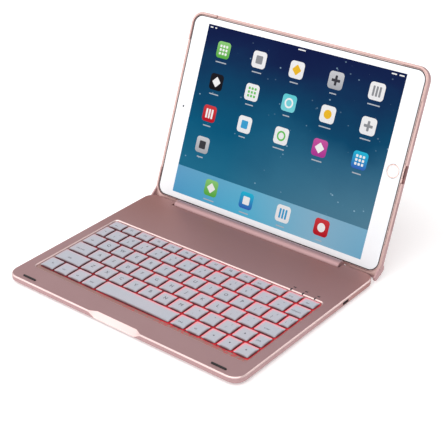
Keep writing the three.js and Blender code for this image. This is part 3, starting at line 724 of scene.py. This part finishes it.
def cover_blank():
    """Outer block of the top cover; the chamfer round the deck takes a lighter colour, a painted highlight.
    """
    bm = bmesh.new()
    profile = [(0.75, COVER_BOTTOM), (0.3, COVER_BOTTOM + 0.15), (0.05, COVER_BOTTOM + 0.5),
               (0, COVER_BOTTOM + 0.9), (0, -1.05), (0.06, -0.9), (0.75, -0.12), (0.95, 0)]
    bands = [0, 0, 0, 0, 0, 1, 1, 1, 0]
    add_loft(bm, *BASE_OUTLINE, profile, 14, materials=bands)
    # Where the chamfer faces the rear, away from the light, it keeps the deck colour and has no painted
    # highlight.
    for face in bm.faces:
        if face.calc_center_median().y > BASE_DEPTH / 2 - BASE_CORNER / 2:
            face.material_index = 0
    return make_object("base_top_shell", bm, [DECK_ROSE, ROSE_PAINTED_HIGHLIGHT])


def cavity(bm):
    add_loft(bm, *grown(BASE_OUTLINE, -WALL), [(0, COVER_BOTTOM - 1), (0, -DECK_PLATE)], 8)


def bay_walls(bm):
    add_box(bm, (-BAY_HALF_WIDTH - WALL, BAY_FRONT - WALL, COVER_BOTTOM - 2),
            (BAY_HALF_WIDTH + WALL, BASE_DEPTH / 2 + 1, 1))


def notch_wall(bm):
    reach = NOTCH_REACH + 3.6
    add_box(bm, (-reach, -BASE_DEPTH / 2 - 1, COVER_BOTTOM - 2),
            (reach, -BASE_DEPTH / 2 + NOTCH_DEPTH + WALL, 1))


def well_shape(bm):
    centre = (0, (WELL_REAR + WELL_FRONT) / 2)
    flare = [(0, -4), (0, -WELL_BEVEL), (-0.08, -WELL_BEVEL + 0.16), (-WELL_BEVEL + 0.12, -0.1),
             (-WELL_BEVEL - 0.05, 0.0), (-WELL_BEVEL - 0.05, 2)]
    # The bevel round the well takes the lighter rose gold: a painted highlight.
    add_loft(bm, WELL_HALF_WIDTH, (WELL_REAR - WELL_FRONT) / 2, WELL_CORNER, flare, 8, centre,
             [0, 0, 1, 1, 1, 0, 0])


def small_cuts(bm):
    """Hinge bay, charging slot and bumper slots."""
    add_box(bm, (-BAY_HALF_WIDTH, BAY_FRONT, COVER_BOTTOM - 2), (BAY_HALF_WIDTH, BASE_DEPTH / 2 + 2, 2))
    slot = rounded_loop(*PORT_HALF, PORT_CORNER, 6)
    right = BASE_WIDTH / 2
    near, far = ([(x, PORT_Y + y, PORT_Z + z) for y, z in slot] for x in (right - 3, right + 1))
    add_prism(bm, near, far)
    for side in (-1, 1):
        add_loft(bm, BUMPER_HALF[0] + 0.2, BUMPER_HALF[1] + 0.18, 0.95, [(0, -0.6), (0, 1)], 6,
                 (side * BUMPER_X, BUMPER_Y))


def make_top_cover():
    shell = cover_blank()
    hollow = cutter_from(cavity)
    carve(hollow, cutter_from(bay_walls))
    carve(hollow, cutter_from(notch_wall))
    carve(shell, hollow)
    carve(shell, cutter_from(well_shape, [ROSE, ROSE_PAINTED_HIGHLIGHT]))
    # The notch's slope takes the lighter rose gold: a painted highlight.
    carve(shell, cutter_from(notch_shape, [ROSE_PAINTED_HIGHLIGHT]))
    carve(shell, cutter_from(small_cuts))
    place(shell, DECK, "keyboard_base", ("base_top_cover",), 22)


def make_bottom_cover():
    bm = bmesh.new()
    profile = lifted(FLOOR, ((2.0, 1.2), (1.3, 1.32), (0.6, 1.7), (0.15, 2.1), (0, 2.3)))
    add_loft(bm, *grown(BASE_OUTLINE, -0.9), profile, 14)
    cover = make_object("base_bottom_shell", bm, [ROSE])

    def cuts(bm):
        add_box(bm, (-BAY_HALF_WIDTH, BAY_FRONT - WALL, FLOOR - 1), (BAY_HALF_WIDTH, BASE_DEPTH, 0))
        for x in (-SCREW_X, SCREW_X):
            for y in (-SCREW_Y, SCREW_Y):
                add_tube(bm, (x, y, FLOOR), (0, 0, 1), [(2.1, 0), (2.1, 1.8), (1.15, 1.81), (1.15, 4)], 24)
    carve(cover, cutter_from(cuts))
    place(cover, DECK, "keyboard_base", ("base_bottom_cover",), 25)


def make_feet_and_bumpers():
    def foot_shape(bm, x, y):
        add_tube(bm, (x, y, FLOOR), (0, 0, 1),
                 [(2.2, 0.25), (2.6, 0.06), (3.2, 0), (3.75, 0.06), (4, 0.35), (4, 1.18)], 40)
    for index, (x, y) in enumerate(FOOT_PLACES):
        simple_piece(f"rubber_foot_{index + 1}", lambda bm: foot_shape(bm, x, y), [RUBBER], DECK,
                     "keyboard_base", (f"foot_{index + 1}",))
    for name, side in (("left_bumper", -1), ("right_bumper", 1)):
        def build(bm):
            profile = [(0, -0.5), (0, 0.6), (0.08, 0.85), (0.3, 1.05), (0.55, 1.1)]
            add_loft(bm, *BUMPER_HALF, 0.78, profile, 8, (side * BUMPER_X, BUMPER_Y))
        simple_piece(f"{name}_strip", build, [RUBBER], DECK, "keyboard_base", (name,))


def make_lights():
    """Three dark light windows on the rear edge of the well, each with a small printed sign behind it."""
    for index, x in enumerate(LIGHTS_X):
        def build(bm):
            profile = [(0, -1.4), (0, 0.08), (0.12, 0.16)]
            add_loft(bm, 0.62, 1.25, 0.3, profile, 4, (x, LIGHTS_Y))
        simple_piece(f"light_window_{index + 1}", build, [BLACK], DECK, "keyboard_base",
                     (f"indicator_light_{index + 1}",))

        def sign(bm):
            base = (x + 0.4, SIGNS_Y)
            add_loft(bm, 0.9, 0.55, 0.2, [(0, -0.02), (0, 0.03)], 2, base)
            height = 0.9 if index else 1.1
            add_loft(bm, 0.28, height, 0.1, [(0, -0.02), (0, 0.03)], 2, (base[0] + 1.3, base[1]))
        simple_piece(f"light_sign_{index + 1}", sign, [BLACK], DECK, "keyboard_base")


# ---- Keys ----
FUNCTION_WIDTH = (BLOCK_RIGHT - BLOCK_LEFT - 13 * KEY_GAP) / 14
SIDE_WIDTH = 14.36
# Rows from rear to front, each with its runs of keys as (CAD node, count, width). The last key of a row
# has no width given where it reaches to the right edge of the block.
ROWS = (
    (("escape_key", 1, FUNCTION_WIDTH), ("function_keys", 13, FUNCTION_WIDTH)),
    (("number_keys", 1, 10.2), ("number_keys", 12, KEY_SIZE), ("backspace_key", 1, None)),
    (("tab_key", 1, 16.5), ("upper_letter_keys", 12, KEY_SIZE), ("upper_letter_keys", 1, None)),
    (("caps_key", 1, 21.9), ("home_letter_keys", 11, KEY_SIZE), ("enter_key", 1, None)),
    (("left_shift_key", 1, 30.3), ("lower_letter_keys", 10, KEY_SIZE), ("arrow_up_key", 1, KEY_SIZE),
     ("right_shift_key", 1, None)),
    (("left_modifier_keys", 4, KEY_SIZE), ("space_bar", 1, 81.3), ("right_modifier_keys", 2, SIDE_WIDTH),
     ("arrow_left_key", 1, SIDE_WIDTH), ("arrow_down_key", 1, SIDE_WIDTH), ("arrow_right_key", 1, None)),
)
LEGENDS = (
    ("esc", *(f"F{number}" for number in range(1, 13)), "del"),
    ("~", *"1234567890-=", "backspace"),
    ("tab", *"QWERTYUIOP[]\\"),
    ("caps lock", *"ASDFGHJKL;'", "enter"),
    ("shift", *"ZXCVBNM,./^", "shift"),
    ("fn", "ctrl", "alt", "cmd", "", "cmd", "alt", "<", "v", ">"),
)
UPPER_MARKS = dict(zip("1234567890-=[]\\;',./", "!@#$%^&*()_+{}|:\"<>?"))


def key_places():
    """Every key as (row, place in row, CAD node, left, right, y, depth)."""
    places = []
    for row, runs in enumerate(ROWS):
        y = FRONT_ROW_Y + (len(ROWS) - 1 - row) * ROW_PITCH if row else FUNCTION_ROW_Y
        depth = KEY_SIZE if row else FUNCTION_KEY_DEPTH
        left = BLOCK_LEFT
        order = 0
        for node, count, width in runs:
            for _ in range(count):
                right = BLOCK_RIGHT if width is None else left + width
                places.append((row, order, node, left, right, y, depth))
                left = right + KEY_GAP
                order += 1
    return places


def clamp(value):
    return min(1.0, max(0.0, value))


def fade(distance, reach):
    """1 at the very edge, down to 0 at the given reach and beyond."""
    return max(0.0, 1 - distance / reach)


def shade_key(piece, centre, half):
    """Stores how the light falls on each point of a cap.

    "rim" is above 0 where glow bleeds over the rear and left edges of the top, and below 0 in the shade of
    the front and right edges. "lit" is how strongly the walls glow, most of all at the corners.
    """
    mesh = piece.data
    rim = mesh.attributes.new("rim", "FLOAT", "POINT")
    lit = mesh.attributes.new("lit", "FLOAT", "POINT")
    for vertex in mesh.vertices:
        x, y, z = vertex.co
        from_left = x - centre[0] + half[0]
        from_rear = centre[1] + half[1] - y
        from_side = min(from_left, 2 * half[0] - from_left)
        from_end = min(from_rear, 2 * half[1] - from_rear)
        corner = fade(max(from_side, from_end), CORNER_GLOW)
        side_share = 0.25 + 0.75 * clamp((x - BLOCK_LEFT) / GLOW_RISE)
        glow = fade(min(from_left, from_rear), RIM_GLOW) * side_share * (0.6 + 0.4 * corner)
        from_right = 2 * half[0] - from_left
        from_front = 2 * half[1] - from_rear
        shadow = fade(min(from_right, from_front), RIM_SHADOW) * (1 - 0.6 * corner)
        rim.data[vertex.index].value = glow - shadow if z > 0.25 else 0.0
        depth = clamp(-z / 0.6)
        lit.data[vertex.index].value = side_share * depth * (0.06 + 0.94 * corner ** 1.5)


def make_key(name, node, left, right, y, depth):
    centre = ((left + right) / 2, y)
    half = ((right - left) / 2, depth / 2)
    bm = bmesh.new()
    profile = [(0.22, KEY_SKIRT), (0.14, -0.6), (0.1, 0.0), (0.05, 0.3), (0.08, 0.55), (0.18, 0.70),
               (0.36, 0.785), (0.6, KEY_TOP), (1.9, 0.775), (3.4, 0.735)]
    bands = [1, 1, 1, 1, 0, 0, 0, 0, 0, 0, 0]
    add_loft(bm, half[0], half[1], KEY_CORNER, profile, 6, centre, bands, 3)
    piece = make_object(name, bm, [KEY_TOP_PAINT, KEY_SIDE_PAINT])
    shade_key(piece, centre, half)
    place(piece, DECK, node, (node,), 50)


GLYPHS = {}


def glyph_mesh(text, size):
    """The mesh of a legend, made once for each text and size."""
    if (text, size) not in GLYPHS:
        curve = bpy.data.curves.new("glyph", "FONT")
        curve.body = text
        curve.size = size
        curve.resolution_u = 2
        curve.extrude = 0.012
        curve.align_x = "CENTER"
        curve.align_y = "CENTER"
        holder = bpy.data.objects.new("glyph", curve)
        bpy.context.scene.collection.objects.link(holder)
        graph = bpy.context.evaluated_depsgraph_get()
        graph.update()
        GLYPHS[(text, size)] = bpy.data.meshes.new_from_object(holder.evaluated_get(graph))
        bpy.data.objects.remove(holder)
    return GLYPHS[(text, size)]


def add_glyph(bm, text, size, x, y):
    before = len(bm.verts)
    bm.from_mesh(glyph_mesh(text, size))
    bm.verts.ensure_lookup_table()
    for vertex in bm.verts[before:]:
        vertex.co += Vector((x, y, LEGEND_TOP))


def add_arrow(bm, direction, x, y):
    """A small solid arrowhead."""
    turn = {"^": 0, "<": 90, "v": 180, ">": 270}[direction]
    corners = []
    for angle in (90, 210, 330):
        heading = math.radians(angle + turn)
        corners.append((x + ARROW_SIZE * math.cos(heading), y + ARROW_SIZE * math.sin(heading)))
    low, high = ([(*corner, LEGEND_TOP + rise) for corner in corners] for rise in (-0.012, 0.012))
    add_prism(bm, low, high)


def add_legend(bm, text, centre, half):
    x, y = centre
    if len(text) > 2:
        add_glyph(bm, text, 2.6, x - half[0] * 0.15, y - half[1] * 0.2)
    elif text in UPPER_MARKS:
        add_glyph(bm, text, 3.4, x - 1.0, y - 2.2)
        add_glyph(bm, UPPER_MARKS[text], 2.8, x + 1.2, y + 2.6)
    elif text:
        add_glyph(bm, text, 4.9 if len(text) == 1 else 3.2, x, y + 0.4)


def make_keys():
    legends = {}
    for row, order, node, left, right, y, depth in key_places():
        single = node.endswith("_key") or node == "space_bar"
        name = f"cap_{node}" if single else f"cap_{node}_{order + 1}"
        make_key(name, node, left, right, y, depth)
        bm = legends.setdefault(node, bmesh.new())
        centre = ((left + right) / 2, y)
        text = LEGENDS[row][order]
        if node.startswith("arrow"):
            add_arrow(bm, text, *centre)
        else:
            add_legend(bm, text, centre, ((right - left) / 2, depth / 2))
    for node, bm in legends.items():
        if bm.verts:
            piece = make_object(f"legend_{node}", bm, [LEGEND])
            place(piece, DECK, node)
        else:
            bm.free()


def make_key_frame():
    """Floor of the well with an opening round every key."""
    bm = bmesh.new()
    add_loft(bm, *FRAME_HALF, 2, [(0, FRAME_TOP - 0.5), (0, FRAME_TOP)], 4, FRAME_CENTRE)
    plate = make_object("key_frame_plate", bm, [WELL_FLOOR])

    def holes(bm):
        for *_, left, right, y, depth in key_places():
            add_loft(bm, (right - left) / 2 + KEY_CLEARANCE, depth / 2 + KEY_CLEARANCE, 1.4,
                     [(0, FRAME_TOP - 2), (0, FRAME_TOP + 1)], 3, ((left + right) / 2, y))
    carve(plate, cutter_from(holes))
    place(plate, DECK, "keyboard_base", ("key_frame",))


# ---- Tray and hinge ----
def add_ear(bm, side):
    """Flat ear on the tray's side that reaches past the base's rear corner, and the web beside it."""
    outer = side * (TABLET_LENGTH / 2 + TRAY_RIM)
    inner = outer - side * EAR_THICKNESS
    start = side * (BARREL_HALF_LENGTH + 0.3)
    low_edge = -TABLET_BREADTH / 2 - TRAY_RIM
    add_box(bm, (min(start, inner), low_edge - 2.2, -3), (max(start, inner), low_edge + 1, -0.9))
    points = []
    for centre, radius in ((EAR_TIP, 2.4), (Vector((0, -2 - SCREEN_BREADTH / 2, -3.2)), 3.4)):
        for step in range(24):
            angle = 2 * math.pi * step / 24
            for x, shrink in ((inner, 0), (outer - side * 0.25, 0), (outer, 0.25)):
                points.append((x, centre.y + (radius - shrink) * math.cos(angle),
                               centre.z + (radius - shrink) * math.sin(angle)))
    add_hull(bm, points)


def make_tray():
    half_x, half_y, corner = grown(TABLET_OUTLINE, TRAY_RIM)
    profile = lifted(TRAY_BACK, ((4.2, 0), (3.1, 0.15), (1.9, 0.8), (0.95, 1.8), (0.3, 2.9), (0, 3.9)))
    profile += lifted(TRAY_LIP, ((0, -0.5), (0.08, -0.22), (0.26, -0.05), (0.5, 0)))
    bands = [0] * 6 + [0, 1, 1, 1, 1]
    bm = bmesh.new()
    add_loft(bm, half_x, half_y, corner, profile, 14, materials=bands)
    tray = make_object("tray_shell", bm, [ROSE, ROSE_RIM])

    def corner_blocks(bm):
        square = [(inset, height) for inset, height in profile if height > TRAY_BACK + 0.5]
        for side in (-1, 1):
            centre = (side * (half_x - corner), -half_y + corner)
            add_loft(bm, corner, corner, 2.4, square, 4, centre, [0] * 5 + [1, 1, 1])
    carve(tray, cutter_from(corner_blocks, [ROSE, ROSE_RIM]), "UNION")

    def ears(bm):
        for side in (-1, 1):
            add_ear(bm, side)
    carve(tray, cutter_from(ears), "UNION")

    def pocket(bm):
        hollow = lifted(TRAY_FLOOR, ((2.9, 0), (1.9, 0.4), (0.9, 1.4), (0.25, 2.9), (0, 3.8)))
        add_loft(bm, *grown(TABLET_OUTLINE, 0.3), hollow + [(0, TRAY_LIP + 3)], 14)
    carve(tray, cutter_from(pocket))

    def openings(bm):
        along = half_x - OPENING_REACH
        across = half_y - OPENING_REACH
        add_box(bm, (-half_x - 1, -across, RIM_LOW), (half_x + 1, across, 3))
        add_box(bm, (-along, half_y - 4, RIM_LOW), (along, half_y + 1, 3))
        add_box(bm, (-OPENING_HALF_LENGTH, -half_y - 1, RIM_LOW - 1), (OPENING_HALF_LENGTH, -half_y + 4, 3))
    carve(tray, cutter_from(openings, [ROSE_RIM]))

    def side_cuts(bm):
        add_box(bm, (half_x - 3.2, TRAY_PORT_CUT[0], -5.4), (half_x + 1, TRAY_PORT_CUT[1], 3))
        add_tube(bm, (CAMERA_X, CAMERA_Y, -9), (0, 0, 1), [(7.4, 0), (7.4, 1.55), (6.8, 2.1), (6.8, 5)], 40)
        for middle in SPEAKER_MIDDLES:
            for step in range(SPEAKER_HOLES):
                y = middle + (step - (SPEAKER_HOLES - 1) / 2) * SPEAKER_PITCH
                add_tube(bm, (half_x - 3.2, y, -2.2), (1, 0, 0), [(0.55, 0), (0.55, 5)], 10)
    carve(tray, cutter_from(side_cuts))
    place(tray, SCREEN, "screen_tray", ("tablet_tray",), 28)


def make_barrel():
    low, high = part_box("hinge_barrel")
    centre = SCREEN.inverted() @ Vector(JOINTS["lid_hinge"]["pos_m"])
    bm = bmesh.new()
    half = BARREL_HALF_LENGTH
    radius = BARREL_RADIUS
    profile = [(1.3, -half + 4), (1.3, -half), (radius - 0.9, -half), (radius - 0.35, -half + 0.15),
               (radius, -half + 0.7), (radius, half - 0.7), (radius - 0.35, half - 0.15),
               (radius - 0.9, half), (1.3, half), (1.3, half - 4)]
    add_tube(bm, (0, centre.y, centre.z), (1, 0, 0), profile, 72)
    barrel = make_object("hinge_tube", bm, [ROSE])

    def flange(bm):
        top = -TABLET_BREADTH / 2 - TRAY_RIM - 0.3
        add_box(bm, (-FLANGE_HALF_LENGTH, top - 1.9, -3), (FLANGE_HALF_LENGTH, top, centre.z - radius + 1.2))
    carve(barrel, cutter_from(flange), "UNION")
    place(barrel, SCREEN, "screen_tray", ("hinge_barrel",), 30)


# ---- Tablet ----
def make_housing():
    bm = bmesh.new()
    profile = lifted(-TABLET_THICKNESS, ((3.2, 0), (2.1, 0.15), (1.1, 0.9), (0.4, 1.9), (0, 3.2)))
    profile += [(0, -0.42), (0.12, -0.22), (0.42, -0.05)]
    # The tablet's polished front edge takes the lighter rose gold, whose lighter colour is a painted
    # highlight.
    bands = [0] * 6 + [1, 1, 1]
    add_loft(bm, *TABLET_OUTLINE, profile, 14, materials=bands)
    housing = make_object("tablet_shell", bm, [TABLET_METAL, ROSE_PAINTED_HIGHLIGHT])

    def pockets(bm):
        add_loft(bm, *grown(TABLET_OUTLINE, -0.5), [(0, -0.85), (0, 2)], 14)
        add_loft(bm, *grown(TABLET_OUTLINE, -2),
                 lifted(-TABLET_THICKNESS, ((1.6, 0.9), (0, 3))) + [(0, -0.5)], 8)
    carve(housing, cutter_from(pockets))

    def port(bm):
        add_box(bm, (TABLET_LENGTH / 2 - 3, -TABLET_PORT_HALF, -4.3),
                (TABLET_LENGTH / 2 + 1, TABLET_PORT_HALF, -2.0))
    carve(housing, cutter_from(port))
    place(housing, SCREEN, "tablet", ("tablet_housing",), 28)


def make_glass():
    bm = bmesh.new()
    profile = [(0, -GLASS_THICKNESS), (0, -0.28), (0.06, -0.12), (0.16, -0.03), (0.3, 0)]
    sheet = (GLASS_LENGTH / 2 - GAP_SHADE_WIDTH, GLASS_BREADTH / 2 - GAP_SHADE_WIDTH, TABLET_CORNER - 1.2)
    add_loft(bm, *sheet, profile, 14)
    glass = make_object("front_glass_sheet", bm, [BORDER])

    def holes(bm):
        add_tube(bm, (HOME_X, 0, -3), (0, 0, 1), [(6.15, 0), (6.15, 6)], 48)
    carve(glass, cutter_from(holes))
    place(glass, SCREEN, "tablet", ("tablet_front_glass",), 30)

    # A black strip round the glass stands for the shaded gap between glass and housing: a dark sheet as
    # painted shade.
    bm = bmesh.new()
    add_loft(bm, GLASS_LENGTH / 2 + 0.05, GLASS_BREADTH / 2 + 0.05, TABLET_CORNER - 0.7,
             [(0, -GLASS_THICKNESS), (0, -0.12)], 14)
    gap_shade = make_object("glass_gap_shade", bm, [RUBBER])
    carve(gap_shade, cutter_from(lambda bm: add_loft(bm, *sheet, [(0, -2), (0, 2)], 14)))
    place(gap_shade, SCREEN, "tablet")

    def eye(bm):
        add_tube(bm, (-HOME_X, 0, -0.03), (0, 0, 1), [(1.1, 0), (1.1, 0.05), (0.9, 0.07)], 24)
    simple_piece("front_camera_eye", eye, [LENS], SCREEN, "tablet")


def store_map(piece, name, low, high):
    """Stores where each point lies in a rectangle, from 0 to 1 across and up."""
    layer = piece.data.attributes.new(name, "FLOAT_VECTOR", "POINT")
    for vertex in piece.data.vertices:
        across = (vertex.co.x - low[0]) / (high[0] - low[0])
        up = (vertex.co.y - low[1]) / (high[1] - low[1])
        layer.data[vertex.index].vector = (across, up, 0)


def make_picture():
    """The lit picture: wallpaper and dock strip, as thin sheets on the display."""
    half_x = SCREEN_LENGTH / 2
    half_y = SCREEN_BREADTH / 2
    dock_top = -half_y + DOCK_HEIGHT

    def sheet(name, low_y, high_y, material, nodes=()):
        bm = bmesh.new()
        add_box(bm, (-half_x, low_y, -0.02), (half_x, high_y, 0.02))
        piece = make_object(name, bm, [material])
        store_map(piece, "picture", (-half_x, -half_y), (half_x, half_y))
        place(piece, SCREEN, "tablet", nodes)
    sheet("display_picture", dock_top, half_y, WALLPAPER, ("tablet_display",))
    sheet("display_dock", -half_y, dock_top, DOCK)


# The tiles are plain: each has a colour, top then bottom, and one simple geometric shape that stands for
# nothing. None of them draws an application's mark.
GREEN = ((0.28, 0.62, 0.20), (0.10, 0.42, 0.06))
PAPER = ((0.90, 0.90, 0.90), (0.86, 0.86, 0.88))
STONE = ((0.62, 0.63, 0.66), (0.40, 0.41, 0.44))
NIGHT = ((0.015, 0.015, 0.02), (0.01, 0.01, 0.012))
AQUA = ((0.12, 0.62, 0.68), (0.20, 0.66, 0.72))
RED = ((0.66, 0.05, 0.06), (0.48, 0.01, 0.02))
PLUM = ((0.60, 0.10, 0.36), (0.42, 0.04, 0.30))
SKY = ((0.02, 0.50, 0.72), (0.04, 0.12, 0.50))
WHITE_LIT = (0.92, 0.92, 0.92)
DARK_LIT = (0.05, 0.05, 0.06)
GREY_LIT = (0.28, 0.29, 0.31)
AMBER_LIT = (0.85, 0.50, 0.03)
LEAF_LIT = (0.15, 0.55, 0.12)
BLUE_LIT = (0.05, 0.36, 0.66)
LABEL_LIT = (0.46, 0.50, 0.56)
ICON_ROWS = (
    ((GREEN, "grid", WHITE_LIT), (PAPER, "square", GREY_LIT), (PAPER, "diamond", AMBER_LIT),
     (STONE, "cross", DARK_LIT), (PAPER, "columns", GREY_LIT)),
    ((NIGHT, "diamond", WHITE_LIT), (PAPER, "grid", LEAF_LIT), (AQUA, "ring", WHITE_LIT),
     (PAPER, "disc", AMBER_LIT), (PAPER, "cross", GREY_LIT)),
    ((RED, "columns", WHITE_LIT), (PAPER, "square", BLUE_LIT), (PAPER, "ring", LEAF_LIT),
     (PLUM, "diamond", WHITE_LIT), (SKY, "grid", WHITE_LIT)),
    ((STONE, "square", DARK_LIT),),
)
DOCK_ICONS = ((GREEN, "diamond", WHITE_LIT), (SKY, "square", WHITE_LIT), (PAPER, "columns", BLUE_LIT),
              (RED, "disc", WHITE_LIT))
TILE_HALF = 7.6
TILE_CORNER = 3.2
COLUMN_PITCH = 41.75
ROW_PITCH_SCREEN = 29.85
FIRST_ROW_Y = 60.0
DOCK_Y = -65.6

PAINTS = {}


def flat_paint(color):
    """One lit material for each plain colour used inside the tiles."""
    if color not in PAINTS:
        PAINTS[color] = lit_material(f"glyph_paint_{len(PAINTS) + 1}", color)
    return PAINTS[color]


class Glyph:
    """Collects small flat shapes, each in its own colour, on one tile of the screen."""

    def __init__(self, x, y):
        self.x = x
        self.y = y
        self.bm = bmesh.new()
        self.colors = []

    def slot_of(self, color):
        if color not in self.colors:
            self.colors.append(color)
        return self.colors.index(color)

    def plate(self, x, y, half_x, half_y, corner, color, height=0.07, turn=0):
        start = len(self.bm.faces)
        before = len(self.bm.verts)
        add_loft(self.bm, half_x, half_y, corner, [(0, 0.03), (0, height)], 5)
        self.bm.verts.ensure_lookup_table()
        spin = Matrix.Translation((self.x + x, self.y + y, 0)) @ Matrix.Rotation(math.radians(turn), 4, "Z")
        for vertex in self.bm.verts[before:]:
            vertex.co = spin @ vertex.co
        self.bm.faces.ensure_lookup_table()
        for face in self.bm.faces[start:]:
            face.material_index = self.slot_of(color)


def draw_shape(kind, glyph, color, back):
    """One plain geometric shape in the middle of a tile."""
    if kind == "disc":
        glyph.plate(0, 0, 4.0, 4.0, 3.99, color)
    elif kind == "ring":
        glyph.plate(0, 0, 4.6, 4.6, 4.59, color)
        glyph.plate(0, 0, 3.0, 3.0, 2.99, back, 0.09)
    elif kind == "square":
        glyph.plate(0, 0, 3.7, 3.7, 0.9, color)
    elif kind == "diamond":
        glyph.plate(0, 0, 3.5, 3.5, 0.7, color, 0.07, 45)
    elif kind == "cross":
        glyph.plate(0, 0, 4.4, 1.2, 0.5, color)
        glyph.plate(0, 0, 1.2, 4.4, 0.5, color, 0.075)
    elif kind == "columns":
        for step in (-1, 0, 1):
            glyph.plate(3.2 * step, 0, 1.0, 4.4, 0.5, color)
    elif kind == "grid":
        for across in (-1, 0, 1):
            for up in (-1, 0, 1):
                glyph.plate(3.4 * across, 3.4 * up, 1.1, 1.1, 0.5, color)


def make_icon(name, x, y, tile, kind, color, number):
    bm = bmesh.new()
    add_loft(bm, TILE_HALF, TILE_HALF, TILE_CORNER, [(0, 0.0), (0, 0.05)], 7, (x, y))
    piece = make_object(name, bm, [lit_material(f"tile_paint_{number}", *tile)])
    layer = piece.data.attributes.new("tile", "FLOAT", "POINT")
    for vertex in piece.data.vertices:
        layer.data[vertex.index].value = (vertex.co.y - y + TILE_HALF) / (2 * TILE_HALF)
    place(piece, SCREEN, "tablet")
    glyph = Glyph(x, y)
    draw_shape(kind, glyph, color, tile[1])
    width = 3.6 + 2.6 * ((number * 7) % 4) / 3
    glyph.plate(0, -TILE_HALF - 3.9, width, 0.5, 0.25, LABEL_LIT)
    sign = make_object(f"{name}_glyph", glyph.bm, [flat_paint(color) for color in glyph.colors])
    place(sign, SCREEN, "tablet")


def make_icons():
    number = 1
    for row, icons in enumerate(ICON_ROWS):
        for column, (tile, kind, color) in enumerate(icons):
            x = (column - 2) * COLUMN_PITCH - 0.6
            make_icon(f"icon_{number}", x, FIRST_ROW_Y - row * ROW_PITCH_SCREEN, tile, kind, color, number)
            number += 1
    for column, (tile, kind, color) in enumerate(DOCK_ICONS):
        make_icon(f"icon_{number}", (column - 1.5) * COLUMN_PITCH - 0.6, DOCK_Y, tile, kind, color, number)
        number += 1

    def status(bm):
        half_x = SCREEN_LENGTH / 2
        height = SCREEN_BREADTH / 2 - 2.4
        marks = ((-half_x + 4, 1.6), (-half_x + 9, 1.1), (0, 4.0), (half_x - 12, 2.6), (half_x - 4.6, 2.4))
        for x, width in marks:
            add_loft(bm, width, 0.55, 0.3, [(0, 0.0), (0, 0.06)], 3, (x, height))
    simple_piece("status_marks", status, [flat_paint(WHITE_LIT)], SCREEN, "tablet")


def make_home_button():
    bm = bmesh.new()
    add_tube(bm, (HOME_X, 0, -1.2), (0, 0, 1),
             [(5.9, 0), (5.9, 1.1), (5.75, 1.2), (5.35, 1.2), (5.25, 1.1), (5.1, 1.04)], 56)
    for face in bm.faces:
        centre = face.calc_center_median()
        off = math.hypot(centre.x - HOME_X, centre.y)
        face.material_index = 0 if off > 5.15 and centre.z > -0.3 else 1
    button = make_object("home_button_cap", bm, [TABLET_METAL, BORDER])
    place(button, SCREEN, "home_button", ("home_button",), 25)


def make_rear_camera():
    bm = bmesh.new()
    add_tube(bm, (CAMERA_X, CAMERA_Y, -6.2), (0, 0, -1),
             [(5.2, 0), (5.2, 0.8), (5.0, 0.95), (4.2, 0.95), (4.1, 0.8), (3.9, 0.78)], 48)
    for face in bm.faces:
        centre = face.calc_center_median()
        off = math.hypot(centre.x - CAMERA_X, centre.y - CAMERA_Y)
        face.material_index = 1 if off < 4.0 and centre.z < -6.8 else 0
    camera = make_object("rear_camera_lens", bm, [TABLET_METAL, LENS])
    place(camera, SCREEN, "tablet", ("rear_camera",), 25)


# ---- CAD pieces that stay ----
def paint_carried_nodes():
    paints = {
        "switch_membrane": GLOW, "key_plate": STEEL, "backlight_guide": GLOW, "main_board": BOARD,
        "left_battery": FOIL, "right_battery": FOIL, "charging_port": BLACK, "left_hinge_bracket": STEEL,
        "right_hinge_bracket": STEEL, "tray_liner": LINER, "tablet_battery": FOIL,
    }
    for index in range(4):
        paints[f"cover_screw_{index + 1}"] = STEEL
    for node, material in paints.items():
        for slot in frame["nodes"][node].material_slots:
            slot.material = material


make_camera()
make_stage()
make_top_cover()
make_bottom_cover()
make_feet_and_bumpers()
make_lights()
make_key_frame()
make_keys()
make_tray()
make_barrel()
make_housing()
make_glass()
make_picture()
make_icons()
make_home_button()
make_rear_camera()
paint_carried_nodes()
